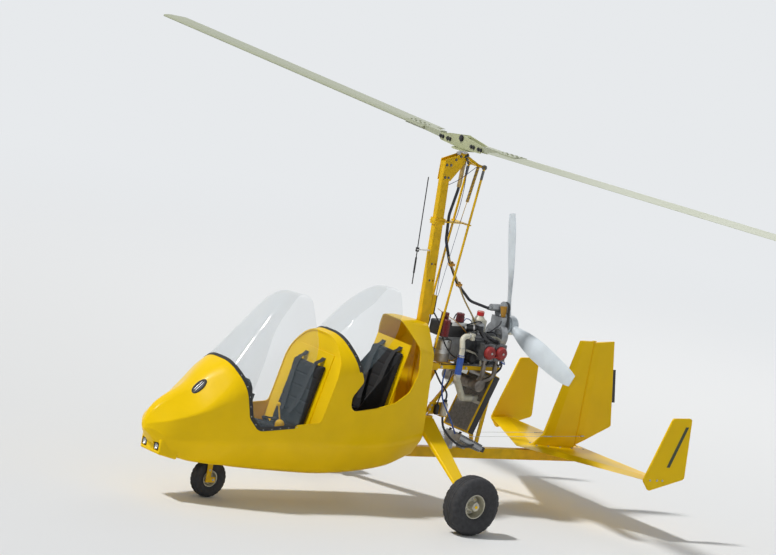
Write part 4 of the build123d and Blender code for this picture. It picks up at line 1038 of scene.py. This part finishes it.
def loop(grow, sides=20):
    # outline of a belt round two pulleys, as y and z
    lean = math.asin((pulleyRadius - drumRadius) / (drumZ - pulleyZ))
    points = []
    for z, radius, start, sweep in ((drumZ, drumRadius + grow, lean, math.pi - 2 * lean),
                                    (pulleyZ, pulleyRadius + grow, math.pi - lean, math.pi + 2 * lean)):
        for index in range(sides + 1):
            angle = start + sweep * index / sides
            points.append((radius * math.cos(angle), z + radius * math.sin(angle)))
    return points


belt = prism("driveBelt", loop(beltThick), beltBack, beltFront, across=False)
boolean(belt, prism("beltHole", loop(0.0), beltBack - 0.01, beltFront + 0.01, across=False))
soften(belt, 0.0008, angle=50)
settle(belt, "blackTrim", angle=40)
flanges = [turnedRing("flange", (x, 0, drumZ), (1, 0, 0), 0.04, 0.049, 0.002) for x in (-0.7405, -0.7685)]
group("drumFlanges", flanges, "castAlloy")
# ochre cheeks over the drive's plates
outline = [(-0.741, 1.4675), (-0.701, 1.4675), (-0.6735, 1.551), (-0.741, 1.551)]
group("driveCheeks", [prism("cheek", outline, low, low + 0.002) for low in (-0.0392, 0.0372)], "ochrePart")
# bolts round the gearbox, along the case and on the bearers
heads = []
for index in range(10):
    angle = math.tau * (index + 0.25) / 10
    y, z = 0.094 * math.cos(angle), 1.32 + 0.094 * math.sin(angle)
    if z < 1.395 or abs(y) > 0.07:
        heads += bolts([(-0.75, y, z)], aft, 0.0062, 0.006)
for index in range(5):
    heads += bolts([(-0.38 - index * 0.066, side * 0.134, 1.1185) for side in (-1, 1)], up, 0.007, 0.007)
for side in (-1, 1):
    heads += bolts([(x, side * 0.145, 1.085) for x in (-0.64, -0.36, -0.12)], (0, side, 0), 0.0085, 0.008)
    caseBolts = ((-0.38, 0.04), (-0.6, 0.046), (-0.66, 0.05))
    heads += bolts([(x, side * y, 1.35) for x, y in caseBolts], up, 0.006, 0.006)
group("engineBolts", heads)
# starter and pump on the flanks of the case, and the oil filter
starter = lathe("starter", (-0.56, -0.128, 1.15), aft, [(26, 0), (30, 6), (30, 80), (33, 84), (33, 100),
                (24, 112), (10, 118)])
pump = lathe("fuelPump", (-0.63, 0.108, 1.35), up, [(24, 0), (30, 6), (30, 14), (24, 18), (22, 34), (12, 40)])
group("enginePumps", [starter, pump], "darkAlloy", slot="gearbox_alloy")
canister = lathe("oilFilter", (-0.392, 0.1, 1.165), (0, 1, 0), [(34, 0), (34, 64), (30, 72), (12, 74)], 40)
settle(canister, "blackTrim")
# muffler ends and straps
endShape = [(47.5, -4), (47.5, 4), (41, 7), (20, 10)]
ends = [lathe("end", (-0.47, side * 0.2 + 0.01, 0.965), (0, side, 0), endShape, 40) for side in (-1, 1)]
ends += [turnedRing("strap", (-0.47, y, 0.965), (0, 1, 0), 0.0462, 0.048, 0.022) for y in (-0.1, 0.12)]
group("mufflerEnds", ends, "stainedSteel")
print("tank, belt and bolts")

# Radiator: fins on both faces, tie bar and end tank, guard; and fittings on the oil cooler
radiatorAt, coolerAt, tilt = (-0.535, 0.07, 0.82), (-0.505, 0.1, 0.515), math.radians(-20)
finWide, finTall, finPitch = 0.262, 0.438, 0.0073


def leaning(name, parts, colour, centre=radiatorAt):
    # parts made upright about their own origin, then tilted with the radiator
    piece = join(name, parts)
    turn = Matrix.Rotation(tilt, 4, "Y")
    piece.matrix_world = Matrix.Translation(inFrame(centre)) @ turn @ piece.matrix_world
    settle(piece, colour)


slats = []
for face in (-1, 1):
    for index in range(int(finTall / finPitch)):
        z = -finTall / 2 + (index + 0.5) * finPitch
        slats.append(primitive("cube", size=1, location=(face * 0.0236, 0, z),
                               scale=(0.003, finWide, 0.0011)))
leaning("radiatorFins", slats, "coreGrey")
leaning("radiatorBars", [block("bar", 0.0225, 0.0275, -0.134, 0.134, -0.012, 0.012, 0.0015, 0),
                         block("tank", -0.024, 0.0275, -0.134, 0.134, 0.19, 0.221, 0.004, 0)], "mattSilver")
guard = [block("guard", -0.0295, -0.0265, y - 0.009, y + 0.009, -0.228, 0.228, 0.001, 0)
         for y in (-0.125, 0.125)]
guard.append(block("rail", -0.034, 0.02, 0.1475, 0.15, -0.236, 0.236, 0.001, 0))
leaning("radiatorGuard", guard, "blackTrim")
unionX = 0.11 + midX
fittings = [block("coolerTank", -0.155, -0.126, -0.098, 0.098, -0.02, 0.02, 0.004, 0)]
fittings += [cylinder("union", (unionX, y, 0.02), (unionX, y, 0.044), 0.011, 6, 0.001) for y in (0.06, -0.06)]
leaning("coolerFittings", fittings, "blackTrim", coolerAt)
# fuel filter and header bottle on a bracket at the mount's port strut, with their hoses
group("filterBracket", [block("plate", -0.29, -0.118, 0.0885, 0.0915, 0.705, 0.8, 0.0015),
                        block("shelf", -0.285, -0.205, 0.0915, 0.145, 0.7, 0.7035, 0.001)], "framePaint")
spacers = []
for x, z in ((-0.132, 0.742), (-0.146, 0.774)):
    spacers.append(cylinder("spacer", (x, 0.074, z), (x, 0.0915, z), 0.007, 12, 0.0008))
    spacers += bolts([(x, 0.0915, z)], (0, 1, 0), 0.0075, 0.006)
group("bracketBolts", spacers)
header = lathe("headerBottle", (-0.245, 0.118, 0.7035), up, [(23, 0), (26, 4), (26, 86), (22, 96), (12, 101),
               (12, 106)])
settle(header, "milkPlastic")
cap = lathe("headerCap", (-0.245, 0.118, 0.8085), up, [(15.5, 0), (15.5, 16), (13, 19)], 24)
can = lathe("fuelFilter", (-0.178, 0.112, 0.708), up, [(10, 0), (19, 10), (20, 14), (20, 70), (19, 74),
            (8, 82)])
group("filterParts", [cap, can], "blackTrim")
filterLines = [
    (6.8, (-245, 118, 824), (-258, 114, 860), (-232, 106, 905), (-184, 95, 948), (-140, 85, 1010),
     (-96, 78, 1072)),
    (9, (-245, 118, 702), (-240, 132, 650), (-248, 172, 596), (-324, 206, 524), (-411, 214, 490),
     (-488, 213, 492), (-532, 199, 506)),
    (5, (-178, 112, 788), (-180, 114, 830), (-205, 122, 900), (-232, 140, 1000), (-228, 146, 1058)),
]
group("filterHoses", lines(filterLines[:2], 8, 3) + lines(filterLines[2:], 8, 2), "blackHose", angle=60)
print("radiator")

# Mast: bolts through the cheeks and plates, the trim spring, wires, and clamps on the flexible shaft
cheekBolts = ((0.095, 2.505), (0.062, 2.505), (0.1, 2.6), (0.06, 2.6), (0.02, 2.645), (-0.02, 2.672),
              (-0.062, 2.672))
mastFoot, mastTall, mastLean = 0.436, 2.189, 0.109
heads = []
for side in (-1, 1):
    outward = (0, side, 0)
    heads += bolts([(x, side * 0.03, z) for x, z in cheekBolts], outward, 0.0085, 0.008)
    for z in (1.842, 1.716):
        x = -0.024 + mastLean * (z - mastFoot) / mastTall + 0.014
        heads += bolts([(x, side * 0.025, z)], outward, 0.007, 0.006)
    heads += bolts([(x, side * 0.025, z) for z in (0.52, 0.66) for x in (-0.062, 0.015)],
                   outward, 0.008, 0.007)
group("mastBolts", heads, "darkAlloy")


def helix(start, end, radius, turns, perTurn=10):
    start, end = Vector(start), Vector(end)
    run = end - start
    u = run.orthogonal().normalized()
    v = run.normalized().cross(u)
    count = turns * perTurn
    points = []
    for index in range(count + 1):
        angle = math.tau * index / perTurn
        points.append(start + run * (index / count) + (u * math.cos(angle) + v * math.sin(angle)) * radius)
    return points


coil = helix((-0.2035, 0.03, 2.605), (-0.1605, 0.03, 2.333), 0.0125, 26)
settle(tube("trimSpring", coil, 0.0019, 2, 1), "blueSpring", angle=60)
mastWires = [
    (1.7, (-159.5, 30, 2333), (-145, 30, 2250), (-128, 33.5, 2160), (-95, 36, 1950), (-62, 33, 1700),
     (-55, 27, 1600)),
    (2.4, (-70, 31, 2640), (-100, 36, 2560), (-105, 34, 2400), (-88, 32, 2200), (-52, 30, 2155),
     (-28, 28.5, 2000), (-35, 28.5, 1610)),
    (2.2, (46, 27.5, 2452), (-30, 33, 2488), (-110, 33, 2545), (-192, 24, 2600.5)),
]
driveSleeve = (16.6, (-80.3, 0, 2634), (-81.8, 0, 2500), (-77.5, 0, 2435))
chokeTube = (6.2, (-98, 12, 1905), (-135, 17, 1843), (-190, 19, 1770), (-245, 22, 1690), (-300, 30, 1600),
             (-365, 40, 1520), (-425, 55, 1445), (-432, 70, 1405))
group("mastWires", lines(mastWires, 6, 1), "blueSpring", angle=60)
group("driveSleeve", lines([driveSleeve], 8, 6), "tanTube", angle=60)
# two clamps hold a thin tube to the flexible shaft where it swings down to the gearbox
group("chokeTube", lines([chokeTube], 8, 3), "tanTube", angle=60)
clamps, shaftWay = [], (0.119, 0, 0.173)
for place in ((-0.1385, 0.008, 1.848), (-0.244, 0.01, 1.698)):
    clamps.append(turnedRing("clamp", place, shaftWay, 0.0125, 0.0215, 0.02))
    clamps.append(block("lug", -0.009, 0.009, 0.0, 0.03, -0.01, 0.01, 0.002, 0))
    clamps[-1].matrix_world = Matrix.Translation(inFrame(place) + Vector((0, 0.01, 0)))
group("shaftClamps", clamps, "ochrePart")
# rod ends, jam nuts and their bolts on both control rods
rodTop, rodFoot = (-0.212, 2.612), (-0.056, 1.122)
ends = []
for side in (-1, 1):
    for (x, z), (toX, toZ), out in ((rodTop, rodFoot, 0.0142), (rodFoot, rodTop, 0.0122)):
        a, b = Vector((x, side * 0.092, z)), Vector((toX, side * 0.092, toZ))
        d = (b - a).normalized()
        ends.append(cylinder("rodSleeve", a + d * 0.026, a + d * 0.085, 0.0102, 20, 0.0015))
        ends.append(cylinder("jamNut", a + d * 0.086, a + d * 0.095, 0.0112, 6, 0.001))
        ends.append(turnedRing("eye", a, (0, 1, 0), 0.0108, 0.0195, 0.016))
        ends += bolts([a + Vector((0, side * out, 0))], (0, side, 0), 0.0095, 0.007)
group("rodEnds", ends, "darkAlloy")
# head: yellow gimbal covers and pivot bolts
covers = [block("cover", -0.0935, -0.0165, side * 0.025, side * 0.0285, 2.646, 2.698, 0.0012)
          for side in (-1, 1)]
group("gimbalPlates", covers, "framePaint")
pins = []
for side in (-1, 1):
    pins += bolts([(-0.077, side * 0.0382, z) for z in (2.655, 2.684)], (0, side, 0), 0.0095, 0.007)
group("gimbalPins", pins, "darkAlloy")
# antenna arm, collar and nut
settle(block("antennaArm", 0.0935, 0.2145, -0.015, 0.015, 1.9382, 1.9458, 0.001), "whitePart")
collar = turnedRing("collar", (0.204, 0, 1.954), up, 0.0045, 0.0145, 0.004)
nut = cylinder("nut", (0.204, 0, 1.925), (0.204, 0, 1.931), 0.0145, 6, 0.001)
group("antennaCollars", [collar, nut], "blackPlastic")
# lid of the switch box on the back of the mast
settle(block("switchLid", -0.0595, -0.0545, -0.0205, 0.0205, 1.459, 1.601, 0.002), "blackPlastic")
# rotor hub: black bolt heads on the plates, turned with the rotor's own azimuth
hubAt, azimuth, plateX = (-0.055, 0, 2.77), math.radians(-2), 0.0382
studs = []
for side in (-1, 1):
    face = (side, 0, 0)
    rows = [(side * plateX + midX, end * y, 0) for y in (0.135, 0.165, 0.225, 0.255) for end in (-1, 1)]
    studs += bolts(rows, face, 0.0122, 0.0098)
    studs += bolts([(side * plateX + midX, 0, 0.036)], face, 0.0212, 0.0125)
studs = join("hubBolts", studs)
studs.matrix_world = Matrix.Translation(inFrame(hubAt)) @ Matrix.Rotation(azimuth, 4, "Z")
settle(studs, "blackPlastic", slot="steel", body="rotor")
print("mast")

# Tyres: a turned profile with tread grooves and flank rings, then cross cuts in the shoulders
tyreSteps, grooveDeep, lugDeep, treadEdge = 96, 0.0035, 0.00352, 0.62
# flank: share of the tyre's height over the rim, and of its half width
flankShares = ((0.05, 0.7), (0.16, 0.8), (0.2, 0.845), (0.22, 0.835), (0.34, 0.925), (0.5, 0.965),
               (0.62, 0.965), (0.64, 0.98), (0.66, 0.96), (0.76, 0.93), (0.86, 0.86), (0.94, 0.74))


def tyre(name, centre, radius, width, rim, grooves, node, body):
    half, rise = width / 2, radius - rim
    flank = [(rim + 0.0006, 0.6)] + [(rim + rise * up, share) for up, share in flankShares]

    def treadPoint(share, deep=0.0):
        # the tread falls a little from the middle to its edges
        return radius - deep - 0.05 * radius * share * share, share
    tread = [treadPoint(-treadEdge)]
    for index in range(grooves):
        middle, g = -treadEdge + (index + 1) * 2 * treadEdge / (grooves + 1), 0.006 / half
        (floor, _), wide = treadPoint(middle, grooveDeep), g * 0.6
        tread += [treadPoint(middle - g), (floor, middle - wide)]
        tread += [(floor, middle + wide), treadPoint(middle + g)]
    tread.append(treadPoint(treadEdge))
    profile = [(r, -half * share) for r, share in flank]
    profile += [(r, half * share) for r, share in tread + flank[::-1]]
    profile += [(rim + 0.004, 0.3 * half), (rim + 0.004, -0.3 * half)]
    piece = spun(name, [(r, y, 0) for r, y in profile], tyreSteps, (0, 1, 0))
    # cross cuts: every fourth slice of the shoulder stands a little lower
    for vertex in piece.data.vertices:
        x, y, z = vertex.co
        r = math.hypot(x, z)
        turn = math.degrees(math.atan2(z, x)) % 360
        slot = round(turn / (360 / tyreSteps)) % 4
        if slot == 0 and r > radius - rise * 0.17 and abs(y) > half * 0.5:
            shrink = (r - lugDeep) / r
            vertex.co = (x * shrink, y * 0.992, z * shrink)
        vertex.co += Vector(centre)
    soften(piece, 0.0012, angle=28)
    settle(piece, "tyreRubber", body=body, angle=32)
    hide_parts(node)


# body, node, centre, tyre radius and width, rim radius, grooves; then faces, count and depth of the bolts
wheels = {
    "mainLeft": ("main_wheel_left", "main_left_tyre", (0, 0.915, 0.2225), 0.2225, 0.17, 0.091, 4,
                 (1,), 6, 0.0075),
    "mainRight": ("main_wheel_right", "main_right_tyre", (0, -0.915, 0.2225), 0.2225, 0.17, 0.091, 4,
                  (-1,), 6, 0.0075),
    "nose": ("nose_wheel", "nose_tyre", (1.757, 0, 0.142), 0.142, 0.088, 0.062, 3, (1, -1), 5, 0.007),
}
for word, (body, node, centre, radius, width, rim, grooves, faces, count, dish) in wheels.items():
    tyre(word + "Tyre", inFrame(centre), radius, width, rim, grooves, node, body)
    # half-shell bolts on the dished web, and the valve stem
    parts, side = [], faces[0]
    for face in faces:
        turns = [math.tau * (index + 0.5) / count for index in range(count)]
        feet = [Vector(centre) + Vector((math.cos(turn), 0, math.sin(turn))) * rim * 0.56
                + Vector((0, face * dish, 0)) for turn in turns]
        parts += bolts(feet, (0, face, 0), rim * 0.062, 0.008)
    valve = Vector(centre) + Vector((rim * 0.74, side * 0.01, 0))
    stem = [valve, valve + Vector((0.004, side * 0.016, 0)), valve + Vector((0.001, side * 0.034, 0))]
    parts.append(tube("valve", stem, 0.0028, 2, 2))
    group(word + "RimBolts", parts, body=body)
for side, word in bothSides:
    outward = (0, side, 0)
    nut = bolts([(0, side * 0.9745, 0.2225)], outward, 0.0118, 0.0068)
    washer = turnedRing("axleWasher", (0, side * 0.9765, 0.2225), (0, 1, 0), 0.0128, 0.0195, 0.002)
    group(word + "AxleNut", nut + [washer])
    # brake line down the back of the gear leg, with clips, and bolts on the leg's root
    line = [(-0.115, side * 0.13, 0.672), (-0.128, side * 0.22, 0.618), (-0.112, side * 0.45, 0.482),
            (-0.098, side * 0.66, 0.356), (-0.092, side * 0.76, 0.288), (-0.104, side * 0.812, 0.262)]
    settle(tube(word + "BrakeLine", line, 0.0032, 4, 2), "blackHose")
    high, low = Vector(line[1]), Vector(line[4])
    clips = [turnedRing("clip", high.lerp(low, share) + Vector((0.004, 0, -0.001)), low - high, 0.003,
                        0.0062, 0.012) for share in (0.25, 0.5, 0.75)]
    group(word + "BrakeClips", clips, "blackTrim")
    places = [(x, side * y, 0.7) for y in (0.098, 0.06) for x in (-0.1, -0.03)]
    group(word + "CarrierBolts", bolts(places, up, 0.009, 0.008))
    places = [(-0.1008, side * y, z) for z in (0.21, 0.235) for y in (0.816, 0.836)]
    group(word + "CaliperBolts", bolts(places, aft, 0.0055, 0.005))
heads = []
for side in (-1, 1):
    heads += bolts([(1.757, side * 0.062, 0.142)], (0, side, 0), 0.0075, 0.007)
    heads += bolts([(1.8, side * 0.063, z) for z in (0.215, 0.265)], (0, side, 0), 0.006, 0.005)
group("forkBolts", heads, body="nose_gear")
print("wheels and gear")

# Tail: rivet lines, bolts, trim tab, stripes and rudder cables
rudderX, plateY = -1.704, 0.939
# fin: height, leading edge and thickness
finRows = ((0.455, -1.19, 0.03), (0.486, -1.29, 0.034), (0.56, -1.372, 0.036), (0.64, -1.393, 0.036),
           (1.308, -1.568, 0.024))


def rivets(name, places, side, body="airframe"):
    # one domed head modelled once, then copied along the line
    radius = 0.0032
    head = primitive("uv_sphere", segments=8, ring_count=4, radius=radius)
    edit(outward=False, bisect=dict(plane_co=(0, 0, -radius * 0.05), plane_no=up, clear_inner=True,
                                    use_fill=True))
    copies = []
    for place in places:
        copy = head.copy()
        copy.data = head.data.copy()
        bpy.context.collection.objects.link(copy)
        copy.matrix_world = aimed(place, (0, side, 0)) @ Matrix.Diagonal((1, 1, 0.45, 1))
        copies.append(copy)
    bpy.data.objects.remove(head)
    group(name, copies, "yellowPaint", body=body)


def finLead(z):
    # leading edge and thickness of the fin at a height
    at = 0
    while at < 3 and z > finRows[at + 1][0]:
        at += 1
    low, high = finRows[at], finRows[at + 1]
    share = (z - low[0]) / (high[0] - low[0])
    return low[1] + (high[1] - low[1]) * share, low[2] + (high[2] - low[2]) * share


def finFace(x, z, side):
    # the fin's skin: lens-shaped sections between the table's rows
    lead, thick = finLead(z)
    crest = lead + (rudderX - lead) * 0.3
    if x > crest:
        y = thick / 2 * (0.42 + 0.58 * (lead - 0.012 - x) / (lead - 0.012 - crest))
    else:
        y = thick / 2 * (1 - 0.4 * (crest - x) / (crest - rudderX))
    return Vector((x, side * y, z))


def crossHinge(name, parts):
    # the cable and its fork joined, finished in steel and baked in place
    piece = join(name, parts)
    dress(piece, ["plainSteel"], 35)
    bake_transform(piece)


def stabTop(x, y):
    # height of the stabiliser's upper skin
    share = abs(y) / 0.925
    lead, trail = -1.133 - 0.5 * share, -1.83 - 0.02 * share
    base, depth = 0.4363 - 0.0003 * share, 0.04 - 0.014 * share
    crest = lead - 0.15
    if x > crest:
        return base + depth * (1 - 0.45 * (x - crest) / 0.15)
    return base + depth * (1 - 0.5 * (crest - x) / (crest - trail))


for side, word in bothSides:
    places = []
    for index in range(14):
        z = 0.56 + index * 0.0545
        places += [finFace(-1.69, z, side), finFace(finLead(z)[0] - 0.075, z, side)]
    for index in range(5):
        places += [finFace(-1.5 - index * 0.045, 0.6, side), finFace(-1.6 - index * 0.024, 1.285, side)]
    rivets(word + "FinRivets", places, side)
    places = [(-1.772, side * 0.0131, 0.56 + index * 0.055) for index in range(13)]
    rivets(word + "RudderRivets", places, side, "rudder")
    places = []
    for index in range(10):
        for low, high in (((-1.715, 0.395), (-2.025, 0.482)), ((-1.655, 0.47), (-1.822, 0.92))):
            p = Vector(low).lerp(Vector(high), index / 9)
            places.append((p.x, side * plateY, p.y))
    rivets(word + "PlateRivets", places, side)
    # bolts that hold the plate on the stabiliser's tip
    tips = [(x, side * plateY, 0.4555) for x in (-1.7, -1.77, -1.825)]
    group(word + "TipBolts", bolts(tips, (0, side, 0), 0.0065, 0.006))
    # rudder cable from the cockpit's back wall along the keel to the horn, with its turnbuckle
    root, horn = Vector((-1.2, side * 0.062, 0.551)), Vector((-1.746, side * 0.054, 0.5655))
    cable = [(0.028, side * 0.075, 0.52), (-0.6, side * 0.069, 0.535), root]
    cable += [root.lerp(horn, share) for share in (0.8, 0.85, 0.9, 0.95, 1.0)]
    wire = tube("cable", cable, 0.0016, 8, 2)
    fork = cylinder("fork", root.lerp(horn, 0.943), horn + Vector((-0.002, 0, 0.0007)), 0.0048, 10, 0.001)
    crossHinge(word + "RudderCable", [wire, fork])
    ends = (-1.34, side * 0.0598, 0.5542), (-1.42, side * 0.0588, 0.5562)
    settle(cylinder(word + "Turnbuckle", *ends, 0.0042, 12, 0.001), "plainSteel")
# stabiliser bolts on the keel
places = [(x, y, stabTop(x, y)) for x in (-1.3, -1.42, -1.54, -1.66, -1.78) for y in (-0.04, 0.04)]
group("stabiliserBolts", bolts(places, up, 0.007, 0.006))
tab = prism("trimTab", [(-2.008, 0.83), (-2.043, 0.83), (-1.99, 1.09), (-1.955, 1.09)], -0.0014, 0.0014)
settle(tab, "blackPlastic", body="rudder")
# plain swept stripe on the outside of both end plates
outline = [(-1.842, 0.56), (-1.874, 0.56), (-1.992, 0.88), (-1.96, 0.88)]
for word, low in (("left", 0.9392), ("right", -0.9398)):
    settle(prism(word + "Stripe", outline, low, low + 0.0006), "darkGreen", angle=0)
print("tail")

# Stage: pale floor that fades into the same pale backdrop, plain soft light and the camera
paleBackdrop = (0.8, 0.82, 0.84, 1)


def seenRay(tree):
    # one for what the camera sees directly, through glass or in a polished surface
    path = newNode(tree, "LightPath")
    total = path.outputs["Is Camera Ray"]
    for name in ("Is Transmission Ray", "Is Glossy Ray"):
        more = newNode(tree, "Math", total)
        more.operation = "MAXIMUM"
        tree.links.new(path.outputs[name], more.inputs[1])
        total = more.outputs[0]
    return total


def mixed(tree, share, first, second, target):
    # two shaders mixed by a share into the output
    mix = newNode(tree, "MixShader", share, "Fac")
    for index, shader in ((1, first), (2, second)):
        tree.links.new(shader.outputs[0], mix.inputs[index])
    tree.links.new(mix.outputs[0], target.inputs["Surface"])


floor = primitive("plane", "studioFloor", size=500.0, location=(0, 0, -0.0005))
paper, tree, shader = newMaterial("floorPaint", Base_Color=(0.8, 0.8, 0.79, 1), Roughness=0.95)
reach = newNode(tree, "VectorMath", newNode(tree, "TexCoord").outputs["Object"])
reach.operation = "LENGTH"
fade = newNode(tree, "MapRange", reach.outputs["Value"], "Value", From_Min=5.0, From_Max=16.0)
fade.interpolation_type = "SMOOTHSTEP"
share = newNode(tree, "Math", fade.outputs["Result"])
share.operation = "MULTIPLY"
tree.links.new(seenRay(tree), share.inputs[1])
glow = newNode(tree, "Emission", Color=paleBackdrop)
mixed(tree, share.outputs[0], shader, glow, tree.nodes["Material Output"])
floor.data.materials.append(paper)

world = bpy.data.worlds.new("studio")
bpy.context.scene.world = world
world.use_nodes = True
tree = world.node_tree
tree.nodes.clear()
lit = newNode(tree, "Background", Color=(0.9, 0.94, 1.0, 1), Strength=0.29)
seen = newNode(tree, "Background", Color=paleBackdrop, Strength=1.0)
mixed(tree, seenRay(tree), lit, seen, newNode(tree, "OutputWorld"))


def linked(name, data):
    obj = bpy.data.objects.new(name, data)
    bpy.context.collection.objects.link(obj)
    return obj


# lamps: place, height aimed at, power, and the size of their source
for name, kind, place, height, power, field, size in (
        ("keyLight", "SUN", (6.0, -1.5, 10.0), 1.2, 2.35, "angle", math.radians(5)),
        ("fillLight", "SUN", (5.0, 12.0, 5.5), 1.2, 0.14, "angle", math.radians(50)),
        ("backLight", "AREA", (-9.0, -6.0, 8.0), 1.5, 160, "size", 5.0)):
    data = bpy.data.lights.new(name, kind)
    data.energy = power
    setattr(data, field, size)
    obj = linked(name, data)
    obj.location = place
    obj.rotation_euler = (Vector((0, 0, height)) - Vector(place)).to_track_quat("-Z", "Y").to_euler()

lens = bpy.data.cameras.new("photoCamera")
lens.sensor_width = 36.0
lens.sensor_fit = "HORIZONTAL"
lens.lens = 236.67
lens.clip_end = 400
camera = linked("photoCamera", lens)
# the camera's own right and upward way, as fitted to the photograph
right, above = Vector((-0.77623, 0.60297, 0.18407)), Vector((0.04581, -0.23727, 0.97037))
turn = Matrix((right, above, right.cross(above))).transposed()
camera.matrix_world = Matrix.Translation((24.28190919 - midX, 28.88973278, 7.65243716)) @ turn.to_4x4()
bpy.context.scene.camera = camera
bpy.context.scene.view_settings.view_transform = "Standard"
print("stage, light and camera")
